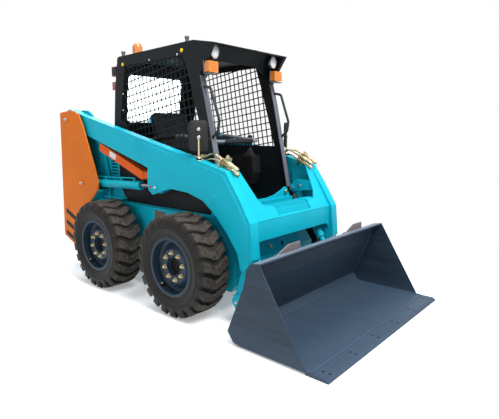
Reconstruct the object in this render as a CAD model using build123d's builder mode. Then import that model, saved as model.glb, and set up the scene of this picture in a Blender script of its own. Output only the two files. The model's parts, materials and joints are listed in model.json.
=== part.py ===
"""Skid steer loader with a radial lift arm, quick coupler and general purpose bucket.

Millimetres. +X points forward to the bucket, +Y to the machine's left, +Z up. The origin is on the
ground, under the middle of the machine's overall box. The machine stands on its four tyres with the
lift arm down and the bucket flat on the ground.
"""

import os
from math import cos, degrees, hypot, pi, radians, sin

from build123d import *

os.makedirs("parts", exist_ok=True)

# ---------------------------------------------------------------- driving dimensions
WHEELBASE = 1010
FRONT_AXLE_X = 283
REAR_AXLE_X = FRONT_AXLE_X - WHEELBASE
TYRE_RADIUS = 386.5  # 10-16.5 tyre, over the lugs
TYRE_WIDTH = 264
AXLE_Z = TYRE_RADIUS
WHEEL_MID_Y = 692.5  # middle plane of a tyre
BEAD_RADIUS = 209.5  # 16.5 inch rim seat
RIM_FLANGE_RADIUS = 226.5
RIM_HALF_WIDTH = 117.5
DISC_FACE_Y = 769  # outer face of the wheel disc
HUB_PILOT_RADIUS = 72.5
AXLE_SHAFT_RADIUS = 38
AXLE_TUBE_RADIUS = 62
RUNNING_CLEARANCE = 0.05

FRAME_HALF_WIDTH = 500  # outside of the chain-case boxes
FOOTWELL_HALF_WIDTH = 300  # inside of the chain-case boxes
FRAME_BOTTOM_Z = 190
CASE_TOP_Z = 735
TOWER_OUTER_Y = 610  # outer face of the tower's outer plate
TOWER_PLATE = 12
TOWER_INNER_Y = 480  # outer face of the tower's inner plate
CAB_HALF_WIDTH = 445
CAB_WALL = 30
ARM_OUTER_Y = 570
ARM_INNER_Y = 490
ARM_PLATE = 10

ARM_PIVOT = (-1466, 1487)  # x, z of the pins, in the arm-down position
LIFT_BASE = (-1248, 881)
LIFT_EYE = (-195, 924)
COUPLER_PIVOT = (743, 170)
TILT_BASE = (518, 888)
TILT_EYE = (858, 390)
CYLINDER_MID_Y = 530  # lift cylinders, in the arms' own plane
TILT_MID_Y = 435  # tilt cylinders, just inside the arms
PIN_RADIUS = 20
ROD_RADIUS = 20

BUCKET_HALF_WIDTH = 840
PLATE = 10


# ---------------------------------------------------------------- helpers
def save(part, name):
    """Label a finished piece and write it as the node of that name."""
    part.label = name
    export_step(part, f"parts/{name}.step")


def save_pair(right_part, stem):
    """Write the machine's right-hand piece and its mirror image."""
    save(right_part, f"{stem}_right")
    save(mirror(right_part, about=Plane.XZ), f"{stem}_left")


def side_plane(distance):
    """The plane of side profiles, `distance` out on the right; local axes are x and z."""
    return Plane.XZ.offset(distance)


def front_plane(x, y, z):
    """A plane at a point, facing forward; local axes are y and z."""
    return Plane((x, y, z), x_dir=(0, 1, 0), z_dir=(1, 0, 0))


# ---------------------------------------------------------------- wheels
LUG_COUNT = 22
LUG_WIDTH = 62
LUG_SWEEP = 60  # how far a lug's middle leads its ends, round the tread
LUG_FOOT_RADIUS = 315  # inside the shoulder
LUG_HALF_LENGTH = (128, 114)  # at the foot, at the top
TREAD_BASE_RADIUS = 362
SHOULDER_RADIUS = 325
BORE_RADIUS = BEAD_RADIUS + 0.3
# distance out from the middle plane, radius
TREAD_EDGE = (100, TREAD_BASE_RADIUS)
SHOULDER = (TYRE_WIDTH / 2, SHOULDER_RADIUS)
BEAD = (105, BORE_RADIUS)


def make_tyre():
    """A flat-sided ring with two sides to each lug, and chevron lugs fused round its crown."""
    pitch = 2 * pi / LUG_COUNT
    half = TYRE_WIDTH / 2
    lean = LUG_SWEEP / 2
    # the lugs' flat tops lie where the lowest corner of a neighbour just meets the ground too
    top = (TYRE_RADIUS - (lean + LUG_WIDTH / 2) * sin(pitch)) / cos(pitch)
    with BuildPart() as lug:
        with BuildSketch(Plane.XY.offset(LUG_FOOT_RADIUS)):
            Polygon(
                (lean - LUG_WIDTH / 2, 0),
                (lean + LUG_WIDTH / 2, 0),
                (-lean + LUG_WIDTH / 2, half),
                (-lean - LUG_WIDTH / 2, half),
                align=None,
            )
            mirror(about=Plane.XZ)
        extrude(amount=top - LUG_FOOT_RADIUS)
        with BuildSketch(Plane.YZ):
            foot, tip = LUG_HALF_LENGTH
            Polygon(
                (-foot, LUG_FOOT_RADIUS),
                (foot, LUG_FOOT_RADIUS),
                (tip, top),
                (-tip, top),
                align=None,
            )
        extrude(amount=TYRE_WIDTH, both=True, mode=Mode.INTERSECT)
    sides = 2 * LUG_COUNT
    with BuildPart() as tyre:
        with BuildSketch(Plane.XZ):
            RegularPolygon(TREAD_BASE_RADIUS, sides, major_radius=False)
        extrude(amount=TREAD_EDGE[0], both=True)
        for sign in (-1, 1):
            for (y0, radius0), (y1, radius1), mode in (
                (TREAD_EDGE, SHOULDER, Mode.ADD),
                (BEAD, SHOULDER, Mode.SUBTRACT),
            ):
                with BuildSketch(Plane.XZ.offset(sign * y0)):
                    RegularPolygon(radius0, sides, major_radius=False)
                with BuildSketch(Plane.XZ.offset(sign * y1)):
                    RegularPolygon(radius1, sides, major_radius=False)
                loft(ruled=True, mode=mode)
        with BuildSketch(Plane.XZ):
            RegularPolygon(BORE_RADIUS, sides, major_radius=False)
        extrude(amount=half, both=True, mode=Mode.SUBTRACT)
        add([Rotation(0, degrees(pitch) * turn, 0) * lug.part for turn in range(LUG_COUNT)])
    return tyre.part


def make_rim(outward):
    """Rim with flanges, drop centre and a dished disc; `outward` is the side of its outer face."""
    disc = DISC_FACE_Y - WHEEL_MID_Y
    edge = RIM_HALF_WIDTH
    seat = BEAD_RADIUS
    with BuildPart() as rim:
        with BuildSketch(Plane.YZ):
            # flanges, bead seats and the stepped well between them
            Polygon(
                (-edge, RIM_FLANGE_RADIUS),
                (-edge + 7, RIM_FLANGE_RADIUS),
                (-edge + 7, seat),
                (-44, seat),
                (-30, 186),
                (30, 186),
                (44, seat),
                (edge - 7, seat),
                (edge - 7, RIM_FLANGE_RADIUS),
                (edge, RIM_FLANGE_RADIUS),
                (edge, seat - 7),
                (50, seat - 7),
                (36, 179),
                (-36, 179),
                (-50, seat - 7),
                (-edge, seat - 7),
                align=None,
            )
            # dished disc from the hub's face out to the well
            Polygon(
                (disc - 10, HUB_PILOT_RADIUS),
                (disc, HUB_PILOT_RADIUS),
                (disc, 130),
                (34, 181),
                (24, 181),
                (disc - 10, 126),
                align=None,
            )
        revolve(axis=Axis.Y)
    return rim.part if outward > 0 else mirror(rim.part, about=Plane.XZ)


def make_hub(outward):
    """Axle shaft and bolting flange, turning with the wheel; the pilot's bore is open."""
    disc = DISC_FACE_Y - WHEEL_MID_Y
    inboard = FRAME_HALF_WIDTH + 4 - WHEEL_MID_Y
    with BuildPart() as hub:
        with BuildSketch(Plane.YZ):
            Polygon(
                (inboard, 0),
                (inboard, AXLE_SHAFT_RADIUS),
                (disc - 52, AXLE_SHAFT_RADIUS),
                (disc - 30, 68),
                (disc - 30, 122),
                (disc - 10, 122),
                (disc - 10, 64),
                (disc - 46, 58),
                (disc - 46, 0),
                align=None,
            )
        revolve(axis=Axis.Y)
    return hub.part if outward > 0 else mirror(hub.part, about=Plane.XZ)


tyre = make_tyre()
for end, axle_x in (("front", FRONT_AXLE_X), ("rear", REAR_AXLE_X)):
    for side, sign in (("right", -1), ("left", 1)):
        place = Location((axle_x, sign * WHEEL_MID_Y, AXLE_Z))
        save(place * tyre, f"tyre_{end}_{side}")
        save(place * make_rim(sign), f"rim_{end}_{side}")
        save(place * make_hub(sign), f"hub_{end}_{side}")

# length, radius from the chain case outwards: flange, tube
AXLE_STEPS = ((16, 95), (150, AXLE_TUBE_RADIUS))
with BuildPart() as axle_tubes:
    for axle_x in (FRONT_AXLE_X, REAR_AXLE_X):
        for length, radius in AXLE_STEPS:
            with BuildSketch(side_plane(FRAME_HALF_WIDTH)):
                with Locations((axle_x, AXLE_Z)):
                    Circle(radius)
            extrude(amount=length)
        with BuildSketch(side_plane(FRAME_HALF_WIDTH)):
            with Locations((axle_x, AXLE_Z)):
                Circle(AXLE_SHAFT_RADIUS + RUNNING_CLEARANCE)
        extrude(amount=150, mode=Mode.SUBTRACT)
    mirror(about=Plane.XZ)
save(axle_tubes.part, "axle_tubes")

# ---------------------------------------------------------------- lower frame
RIB = 12  # how far the rib on the chain case's side stands out
FRAME_REAR_X = -1560
FRONT_RAIL = (490, 580, 785, 828)  # x0, x1, z0, z1 of the rail across the cab's foot
CAB_FOOT = ((430, 830), (343, CASE_TOP_Z))  # x, z of the cab side's slanting front foot

with BuildPart() as lower_frame:
    # chain-case boxes, one each side
    for inner in (FOOTWELL_HALF_WIDTH, -FRAME_HALF_WIDTH):
        with BuildSketch(Plane.XZ.offset(inner)):
            Polygon(
                (FRAME_REAR_X, 300),
                (-1440, FRAME_BOTTOM_Z),
                (610, FRAME_BOTTOM_Z),
                (655, 250),
                (655, 420),
                (418, CASE_TOP_Z),
                (FRAME_REAR_X, CASE_TOP_Z),
                align=None,
            )
        extrude(amount=FRAME_HALF_WIDTH - FOOTWELL_HALF_WIDTH)
    # belly, rear cross plate and bulkhead between the boxes
    for x0, x1, z0, z1 in (
        (-1440, 610, FRAME_BOTTOM_Z, FRAME_BOTTOM_Z + 12),
        (FRAME_REAR_X, FRAME_REAR_X + 16, 300, 480),
        (-420, -408, FRAME_BOTTOM_Z, CASE_TOP_Z),
    ):
        with BuildSketch(Plane.XZ):
            with Locations(((x0 + x1) / 2, (z0 + z1) / 2)):
                Rectangle(x1 - x0, z1 - z0)
        extrude(amount=FOOTWELL_HALF_WIDTH, both=True)
    # front wall of the footwell, leaning back to the rail that closes its top
    x0, x1, z0, z1 = FRONT_RAIL
    with BuildSketch(Plane.XZ):
        Polygon(
            (598, FRAME_BOTTOM_Z),
            (610, FRAME_BOTTOM_Z),
            (655, 250),
            (655, 415),
            (x1, z0),
            (x1, z1),
            (x0, z1),
            (x0, z0),
            (x1 - 12, z0),
            (643, 413),
            (643, 250),
            align=None,
        )
    extrude(amount=FOOTWELL_HALF_WIDTH, both=True)
    # inspection hole in the wall
    with BuildSketch(Plane.YZ.offset(600)):
        with Locations((80, 466)):
            Rectangle(34, 34)
    extrude(amount=60, mode=Mode.SUBTRACT)
    # lug standing on the rail
    with BuildSketch(Plane.YZ.offset(x1 - 30)):
        Polygon(
            (-110, z1),
            (87, z1 + 29),
            (198, z1 + 70),
            (225, z1 + 52),
            (256, z1 + 60),
            (285, z1 + 10),
            (285, z1),
            align=None,
        )
        with Locations((225, z1 + 50)):
            Circle(33)
    extrude(amount=12)
    with BuildSketch(Plane.YZ.offset(x1 - 30)):
        with Locations((222, z1 + 48)):
            Circle(12)
    extrude(amount=26)
    for side in (1, -1):
        # gusset in front of the cab's foot
        with BuildSketch(side_plane(side * CAB_HALF_WIDTH)):
            Polygon(
                CAB_FOOT[1],
                CAB_FOOT[0],
                (442, 850),
                (490, 790),
                (530, 745),
                (510, 612),
                (418, CASE_TOP_Z),
                align=None,
            )
        extrude(amount=-20 * side)
        # rib along the top of the chain case's side
        with BuildSketch(side_plane(side * FRAME_HALF_WIDTH)):
            Polygon(
                (-985, CASE_TOP_Z - 16),
                (425, CASE_TOP_Z - 16),
                (413, CASE_TOP_Z),
                (-985, CASE_TOP_Z),
                align=None,
            )
        extrude(amount=RIB * side)
        # gusset that carries the rail on the chain case
        with BuildSketch(side_plane(side * FOOTWELL_HALF_WIDTH)):
            Polygon(
                (300, 720),
                (405, 720),
                (640, 405),
                (650, 405),
                (x1 - 3, z0),
                (x1 - 3, z1 - 2),
                (x0, z1 - 2),
                align=None,
            )
        extrude(amount=12 * side)
save(lower_frame.part, "lower_frame")

# ---------------------------------------------------------------- towers
# x, z round the outer plate, from the rear bottom up and over the front
TOWER_OUTLINE = (
    (-1657, 316),
    (-1590, 1552),
    (-1388, 1570),
    (-1310, 1559),
    (-1244, 1525),
    (-1183, 1431),
    (-1015, 1047),
    (-962, 902),
    (-977, 835),
    (-1044, 773),
    (-1142, 696),
    (-1263, 605),
    (-1330, 500),
    (-1360, 380),
    (-1462, 241),
)

with BuildPart() as tower_plates:
    with BuildSketch(side_plane(TOWER_OUTER_Y - TOWER_PLATE)):
        Polygon(*TOWER_OUTLINE, align=None)
    extrude(amount=TOWER_PLATE)
    # pins of the arm and of the lift cylinder, with their retainer heads
    for x, z in (ARM_PIVOT, LIFT_BASE):
        with BuildSketch(side_plane(TOWER_INNER_Y)):
            with Locations((x, z)):
                Circle(PIN_RADIUS)
        extrude(amount=TOWER_OUTER_Y - TOWER_INNER_Y)
        with BuildSketch(side_plane(TOWER_OUTER_Y)):
            with Locations((x, z)):
                Circle(30)
        extrude(amount=8)
    mirror(about=Plane.XZ)
save(tower_plates.part, "tower_plates")

# x, z round the inner plate; its rounded top shows above the outer plate's front
INNER_OUTLINE = (
    (-1624, CASE_TOP_Z),
    (-1592, 1400),
    (-1585, 1545),
    (-1390, 1575),
    (-1290, 1568),
    (-1215, 1520),
    (-1150, 1400),
    (-1030, 1100),
    (-985, 950),
    (-985, CASE_TOP_Z),
)
DOOR_HINGE = (-1616, 436)  # x, distance out
DOOR_HINGE_Z = (820, 1100)  # middle of each hinge
HINGE_RADIUS = 10
HINGE_PIN_RADIUS = 6
HINGE_GAP = 0.5


def hinge_lug(centre, reach):
    """Sketch of a lug round a vertical hinge pin on the right, with its web out to `reach`."""
    with Locations((centre[0], -centre[1])):
        Circle(HINGE_RADIUS)
    Polygon(
        (centre[0] - 5, -centre[1]),
        (centre[0] + 26, -reach),
        (centre[0] - 5, -reach),
        align=None,
    )


with BuildPart() as towers:
    with BuildSketch(side_plane(TOWER_INNER_Y - 16)):
        Polygon(*INNER_OUTLINE, align=None)
    extrude(amount=16)
    # rear wall of the upright, between the inner and outer plates
    with BuildSketch(side_plane(TOWER_INNER_Y - 16)):
        Polygon((-1644, 320), (-1628, 320), (-1580, 1400), (-1592, 1400), align=None)
    extrude(amount=TOWER_OUTER_Y - TOWER_PLATE - TOWER_INNER_Y + 16)
    # shelf over the rear wheel, from the chain case to the outer plate
    with BuildSketch(side_plane(TOWER_INNER_Y)):
        Polygon(
            (-1630, CASE_TOP_Z),
            (-1090, CASE_TOP_Z),
            (-985, 820),
            (-985, 835),
            (-1095, 751),
            (-1630, 751),
            align=None,
        )
    extrude(amount=TOWER_OUTER_Y - TOWER_PLATE - TOWER_INNER_Y)
    # foot of the upright beside the chain case
    with BuildSketch(side_plane(FRAME_HALF_WIDTH)):
        Polygon(
            (-1640, 330),
            (-1470, 262),
            (-1400, 340),
            (-1370, 400),
            (-1330, 520),
            (-1625, 520),
            align=None,
        )
    extrude(amount=TOWER_OUTER_Y - TOWER_PLATE - FRAME_HALF_WIDTH)
    mirror(about=Plane.XZ)
    # hinge lugs and pins of the rear door; the door hangs on the right-hand tower
    for z in DOOR_HINGE_Z:
        with BuildSketch(Plane.XY.offset(z - 40)):
            hinge_lug(DOOR_HINGE, TOWER_INNER_Y - 16)
        extrude(amount=20 - HINGE_GAP)
        with BuildSketch(Plane.XY.offset(z + 20 + HINGE_GAP)):
            hinge_lug(DOOR_HINGE, TOWER_INNER_Y - 16)
        extrude(amount=20 - HINGE_GAP)
        with BuildSketch(Plane.XY.offset(z - 40)):
            with Locations((DOOR_HINGE[0], -DOOR_HINGE[1])):
                Circle(HINGE_PIN_RADIUS)
        extrude(amount=80)
save(towers.part, "towers")

# ---------------------------------------------------------------- engine bay
ENGINE_BAY_Y = 440
BAY_FRONT_X = -850
BAY_TOP_Z = 1230

with BuildPart() as engine:
    with BuildSketch(Plane.XY.offset(FRAME_BOTTOM_Z + 12)):
        with Locations((-1190, 0)):
            Rectangle(560, 520)
    extrude(amount=680)
save(engine.part, "engine")

with BuildPart() as engine_sides:
    with BuildSketch(side_plane(ENGINE_BAY_Y - 4)):
        Polygon(
            (-1560, CASE_TOP_Z),
            (-1560, BAY_TOP_Z),
            (-925, BAY_TOP_Z),
            (BAY_FRONT_X - 6, BAY_TOP_Z - 20),
            (BAY_FRONT_X - 6, 880),
            (-753, CASE_TOP_Z),
            align=None,
        )
    extrude(amount=8)
    # seven louvre slots
    with BuildSketch(side_plane(ENGINE_BAY_Y - 10)):
        with Locations((-937, 1040)):
            with GridLocations(0, 29, 1, 7):
                Rectangle(110, 13)
    extrude(amount=20, mode=Mode.SUBTRACT)
    mirror(about=Plane.XZ)
save(engine_sides.part, "engine_sides")

HOOD_HINGE = (-935, 1262)  # x, z
HOOD_HINGE_Y = 300  # middle of each hinge
with BuildPart() as hood:
    with BuildSketch(Plane.XZ):
        Polygon(
            (-1570, BAY_TOP_Z + 6),
            (HOOD_HINGE[0], BAY_TOP_Z + 6),
            (HOOD_HINGE[0], BAY_TOP_Z + 60),
            (-1500, BAY_TOP_Z + 30),
            (-1570, BAY_TOP_Z + 20),
            align=None,
        )
    extrude(amount=ENGINE_BAY_Y + 4, both=True)
    for y0 in (HOOD_HINGE_Y, -HOOD_HINGE_Y):
        with BuildSketch(side_plane(y0 - 30)):
            with Locations(HOOD_HINGE):
                Circle(HINGE_RADIUS)
        extrude(amount=60)
    with BuildSketch(side_plane(-400)):
        with Locations(HOOD_HINGE):
            Circle(HINGE_PIN_RADIUS + RUNNING_CLEARANCE)
    extrude(amount=800, mode=Mode.SUBTRACT)
    # room for the lugs on the cab, each side of the knuckle
    for y0 in (HOOD_HINGE_Y, -HOOD_HINGE_Y):
        for start in (y0 - 62, y0 + 30):
            with BuildSketch(side_plane(start)):
                with Locations(HOOD_HINGE):
                    Circle(HINGE_RADIUS + 2)
            extrude(amount=32, mode=Mode.SUBTRACT)
    # cooling slots in two banks
    with BuildSketch(Plane.XY.offset(BAY_TOP_Z + 26)):
        with Locations((-1240, 0)):
            with GridLocations(38, 400, 8, 2):
                RectangleRounded(15, 280, 7)
    extrude(amount=60, mode=Mode.SUBTRACT)
save(hood.part, "hood")

DOOR_X = -1566
with BuildPart() as rear_door:
    with BuildSketch(Plane.XZ):
        Polygon(
            (DOOR_X - 50, 500),
            (DOOR_X, 500),
            (DOOR_X, BAY_TOP_Z - 6),
            (DOOR_X - 30, BAY_TOP_Z - 6),
            (DOOR_X - 50, 1150),
            align=None,
        )
    extrude(amount=430, both=True)
    for z in DOOR_HINGE_Z:
        with BuildSketch(Plane.XY.offset(z - 20)):
            with Locations((DOOR_HINGE[0], -DOOR_HINGE[1])):
                Circle(HINGE_RADIUS)
        extrude(amount=40)
        with BuildSketch(Plane.XY.offset(z - 50)):
            with Locations((DOOR_HINGE[0], -DOOR_HINGE[1])):
                Circle(HINGE_PIN_RADIUS + RUNNING_CLEARANCE)
        extrude(amount=100, mode=Mode.SUBTRACT)
        # room for the lugs on the tower, above and below the knuckle
        for z0 in (z - 42, z + 20):
            with BuildSketch(Plane.XY.offset(z0)):
                with Locations((DOOR_HINGE[0], -DOOR_HINGE[1])):
                    Circle(HINGE_RADIUS + 2)
            extrude(amount=22, mode=Mode.SUBTRACT)
    # cooling slots
    with BuildSketch(Plane.YZ.offset(DOOR_X - 60)):
        with Locations((0, 800)):
            with GridLocations(0, 36, 1, 11):
                RectangleRounded(580, 16, 7)
    extrude(amount=22, mode=Mode.SUBTRACT)
save(rear_door.part, "rear_door")

# ---------------------------------------------------------------- cab
# x, z round the cab's side, rear foot first
CAB_SIDE = (
    (-747, CASE_TOP_Z),
    (BAY_FRONT_X, 880),
    (BAY_FRONT_X, BAY_TOP_Z - 20),
    (-915, BAY_TOP_Z + 66),
    (-904, 1403),
    (-866, 1741),
    (-824, 1946),
    (-815, 1975),
    (210, 1975),
    (250, 1790),
    (300, 1600),
    (365, 1300),
    (405, 1124),
    (455, 880),
    *CAB_FOOT,
)
SIDE_WINDOW = (
    (-700, 1934),
    (70, 1947),
    (139, 1757),
    (300, 1233),
    (-640, 1233),
    (-714, 1402),
    (-801, 1474),
)

with BuildPart() as cab_sides:
    with BuildSketch(side_plane(CAB_HALF_WIDTH - CAB_WALL)):
        Polygon(*CAB_SIDE, align=None)
        Polygon(*SIDE_WINDOW, align=None, mode=Mode.SUBTRACT)
    extrude(amount=CAB_WALL)
    mirror(about=Plane.XZ)
save(cab_sides.part, "cab_sides")

MESH_PITCH = (54, 60)  # between upright bars, between level bars
MESH_BAR = 9
MESH_LEAN = 9  # degrees, the whole mesh turned in its own plane
SCREEN_Y = CAB_HALF_WIDTH - 20  # inner face of the screen, within the wall's thickness

with BuildPart() as side_screen:
    # edge strip, seated in the window's edge
    with BuildSketch(side_plane(SCREEN_Y)):
        Polygon(*SIDE_WINDOW, align=None)
        offset(amount=-9, mode=Mode.SUBTRACT)
    extrude(amount=11)
    # upright bars inside, level bars outside
    for layer, (across, along) in enumerate(((MESH_PITCH[0], 1), (1, MESH_PITCH[1]))):
        upright = layer == 0
        with BuildSketch(side_plane(SCREEN_Y + 6 * layer)):
            with Locations(Location((-250, 1590), MESH_LEAN)):
                with GridLocations(across, along, 26 if upright else 1, 1 if upright else 16):
                    Rectangle(MESH_BAR if upright else 1500, 1100 if upright else MESH_BAR)
            Polygon(*SIDE_WINDOW, align=None, mode=Mode.INTERSECT)
        extrude(amount=5)
save_pair(side_screen.part, "side_screen")

VISOR_EDGE = ((400, 2005), (315, 1880), (250, 1790))  # x, z down the front edge of the visor's cheeks
with BuildPart() as cab_roof:
    with BuildSketch(Plane.XZ):
        Polygon(
            (-815, 1975),
            (-814, 2000),
            (-803, 2016),
            (-782, 2022),
            (183, 2045),
            VISOR_EDGE[0],
            (388, 1995),
            (205, 2030),
            (205, 1975),
            align=None,
        )
    extrude(amount=CAB_HALF_WIDTH, both=True)
    for inner in (CAB_HALF_WIDTH - CAB_WALL, -CAB_HALF_WIDTH):
        with BuildSketch(Plane.XZ.offset(inner)):
            Polygon((200, 2041), *VISOR_EDGE, (210, 1975), (200, 1975), align=None)
        extrude(amount=CAB_WALL)
    # set-back panel with an arched lower edge
    lean = radians(25)
    with BuildSketch(Plane((300, 0, 2015), x_dir=(0, 1, 0), z_dir=(cos(lean), 0, -sin(lean)))):
        Polygon(
            (-418, 6),
            (-418, -190),
            (-330, -170),
            (-230, -120),
            (230, -120),
            (330, -170),
            (418, -190),
            (418, 6),
            align=None,
        )
    extrude(amount=-10)
    add(cab_sides.part, mode=Mode.SUBTRACT)
save(cab_roof.part, "cab_roof")

REAR_WINDOW = (330, 1450, 1890)  # half width, z0, z1
with BuildPart() as cab_rear:
    with BuildSketch(Plane.XZ):
        Polygon(
            (BAY_FRONT_X, 880),
            (BAY_FRONT_X, BAY_TOP_Z - 20),
            (-915, BAY_TOP_Z + 66),
            (-904, 1403),
            (-866, 1741),
            (-824, 1946),
            (-815, 1975),
            (-785, 1975),
            (-794, 1946),
            (-836, 1741),
            (-874, 1403),
            (-884, BAY_TOP_Z + 74),
            (BAY_FRONT_X + 28, BAY_TOP_Z - 16),
            (BAY_FRONT_X + 28, 880),
            align=None,
        )
    extrude(amount=CAB_HALF_WIDTH - CAB_WALL, both=True)
    half, z0, z1 = REAR_WINDOW
    with BuildSketch(Plane.YZ.offset(-1000)):
        with Locations((0, (z0 + z1) / 2)):
            RectangleRounded(2 * half, z1 - z0, 50)
    extrude(amount=300, mode=Mode.SUBTRACT)
    # hinge lugs and pins of the hood
    for y0 in (HOOD_HINGE_Y, -HOOD_HINGE_Y):
        for start in (y0 - 60, y0 + 30 + HINGE_GAP):
            with BuildSketch(side_plane(start)):
                with Locations(HOOD_HINGE):
                    Circle(HINGE_RADIUS)
                Polygon((-935, 1252), (-870, 1252), (-882, 1266), (-932, 1266), align=None)
            extrude(amount=30 - HINGE_GAP)
        with BuildSketch(side_plane(y0 - 60)):
            with Locations(HOOD_HINGE):
                Circle(HINGE_PIN_RADIUS)
        extrude(amount=120)
save(cab_rear.part, "cab_rear")

with BuildPart() as rear_window:
    with BuildSketch(Plane.XZ):
        Polygon(
            (-889, 1380),
            (-852, 1741),
            (-812, 1940),
            (-806, 1939),
            (-846, 1740),
            (-883, 1380),
            align=None,
        )
    extrude(amount=CAB_HALF_WIDTH, both=True)
    with BuildSketch(Plane.YZ.offset(-1000)):
        with Locations((0, (z0 + z1) / 2)):
            RectangleRounded(2 * half, z1 - z0, 50)
    extrude(amount=300, mode=Mode.INTERSECT)
save(rear_window.part, "rear_window")

with BuildPart() as cab_floor:
    with BuildSketch(Plane.XZ):
        Polygon(
            (-822, 880),
            (-60, 880),
            (-20, 400),
            (643, 400),
            (643, 412),
            (-10, 412),
            (-48, 892),
            (-822, 892),
            align=None,
        )
    extrude(amount=FOOTWELL_HALF_WIDTH, both=True)
    # wings that carry the seat platform out to the cab's sides
    with BuildSketch(Plane.XY.offset(880)):
        for sign in (-1, 1):
            with Locations((-435, sign * (FOOTWELL_HALF_WIDTH + CAB_HALF_WIDTH - CAB_WALL) / 2)):
                Rectangle(774, CAB_HALF_WIDTH - CAB_WALL - FOOTWELL_HALF_WIDTH)
    extrude(amount=12)
save(cab_floor.part, "cab_floor")

with BuildPart() as seat:
    with BuildSketch(Plane.XZ):
        Polygon(
            (-560, 960),
            (-90, 960),
            (-60, 1000),
            (-90, 1060),
            (-480, 1050),
            (-620, 1560),
            (-690, 1560),
            (-660, 1300),
            align=None,
        )
    extrude(amount=230, both=True)
    with BuildSketch(Plane.XY.offset(892)):
        with Locations((-330, 0)):
            Rectangle(380, 360)
    extrude(amount=68)
save(seat.part, "seat")

with BuildPart() as lap_bar:
    with BuildLine() as bar_path:
        FilletPolyline(
            (-600, -262, 1300),
            (-160, -262, 1335),
            (235, -262, 1290),
            (235, 262, 1290),
            (-160, 262, 1335),
            (-600, 262, 1300),
            radius=45,
        )
    with BuildSketch(Plane(origin=bar_path.line @ 0, z_dir=bar_path.line % 0)):
        Circle(14)
    sweep()
save(lap_bar.part, "lap_bar")

# one pod, boot and lever each side of the seat
LEVER = (66, 345)  # x, distance out
with BuildPart() as control_levers:
    with BuildSketch(side_plane(LEVER[1] - 45)):
        Polygon((-250, 892), (-250, 1120), (20, 1165), (125, 1150), (140, 1000), (90, 892), align=None)
    extrude(amount=112)
    with BuildSketch(Plane((LEVER[0], -LEVER[1], 1145))):
        Circle(46)
    extrude(amount=55, taper=38)
    with BuildSketch(Plane((LEVER[0], -LEVER[1], 1150))):
        Circle(8)
    extrude(amount=100)
    with BuildSketch(Plane((LEVER[0], -LEVER[1], 1240))):
        Ellipse(20, 17)
    extrude(amount=95, taper=3)
    mirror(about=Plane.XZ)
save(control_levers.part, "control_levers")

HANDLE_Y = 430
with BuildPart() as grab_handles:
    with BuildLine() as handle_path:
        FilletPolyline(
            (255, -HANDLE_Y, 1706),
            (350, -HANDLE_Y, 1690),
            (436, -HANDLE_Y, 1455),
            (424, -HANDLE_Y, 1375),
            (340, -HANDLE_Y, 1305),
            radius=35,
        )
    with BuildSketch(Plane(origin=handle_path.line @ 0, z_dir=handle_path.line % 0)):
        Circle(11)
    sweep()
    mirror(about=Plane.XZ)
    add(cab_sides.part, mode=Mode.SUBTRACT)
save(grab_handles.part, "grab_handles")

HEADLAMP = (322, 354, 1957)  # x of the lens, distance out, z
# how far behind the lens it starts, length, half width, half height: housing, then lens
HEADLAMP_STEPS = ((52, 18, 30, 30), (34, 34, 43, 52))
with BuildPart() as headlamps:
    x, out, z = HEADLAMP
    for behind, length, half_width, half_height in HEADLAMP_STEPS:
        with BuildSketch(front_plane(x - behind, -out, z)):
            Ellipse(half_width, half_height)
        extrude(amount=length)
    # stalk up to the visor's underside
    with BuildSketch(Plane((x - 17, -out, z))):
        Circle(7)
    extrude(amount=2018 - z)
    mirror(about=Plane.XZ)
    add(cab_roof.part, mode=Mode.SUBTRACT)
save(headlamps.part, "headlamps")

TURN_LAMP = (298, 394, 1842)  # x of its back, distance out, z of its middle
BEACON = (-720, -290)  # x, y
# z0, z1, radius of the beacon's foot, lens and domed top
BEACON_STEPS = ((2018, 2056, 52), (2056, 2120, 43), (2120, 2140, 36), (2140, 2150, 22))
with BuildPart() as amber_lamps:
    x, out, z = TURN_LAMP
    with BuildSketch(front_plane(x, -out, z)):
        RectangleRounded(100, 80, 8)
    extrude(amount=50)
    mirror(about=Plane.XZ)
    for z0, z1, radius in BEACON_STEPS:
        with BuildSketch(Plane((*BEACON, z0))):
            Circle(radius)
        extrude(amount=z1 - z0)
    add(cab_roof.part, mode=Mode.SUBTRACT)
    add(cab_sides.part, mode=Mode.SUBTRACT)
save(amber_lamps.part, "amber_lamps")

TAIL_LAMP_X = (-905, -847)
TAIL_LAMP_Z = ((1860, 1945), (1740, 1812))  # bottom and top of each lamp, upper one first
TAIL_LAMP_WIDTH = 90
with BuildPart() as tail_lamps:
    x0, x1 = TAIL_LAMP_X
    for z0, z1 in TAIL_LAMP_Z:
        with BuildSketch(side_plane(CAB_HALF_WIDTH - TAIL_LAMP_WIDTH)):
            Polygon((x0, z0), (x0, z1), (x1, z1), (x1, z0), align=None)
        extrude(amount=TAIL_LAMP_WIDTH)
    mirror(about=Plane.XZ)
    add(cab_rear.part, mode=Mode.SUBTRACT)
    add(cab_sides.part, mode=Mode.SUBTRACT)
    add(cab_roof.part, mode=Mode.SUBTRACT)
save(tail_lamps.part, "tail_lamps")

# ---------------------------------------------------------------- lift arm
ARM_OUTLINE = (
    (-1209, 1515),
    (557, 1110),
    (626, 1093),
    (746, 922),
    (855, 749),
    (881, 496),
    (808, 404),
    (771, 403),
    (743, 521),
    (648, 649),
    (521, 778),
    (397, 867),
    (234, 912),
    (34, 926),
    (-67, 898),
    (-199, 858),
    (-250, 895),
    (-260, 952),
    (-252, 1076),
    (-1124, 1321),
)
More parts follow.
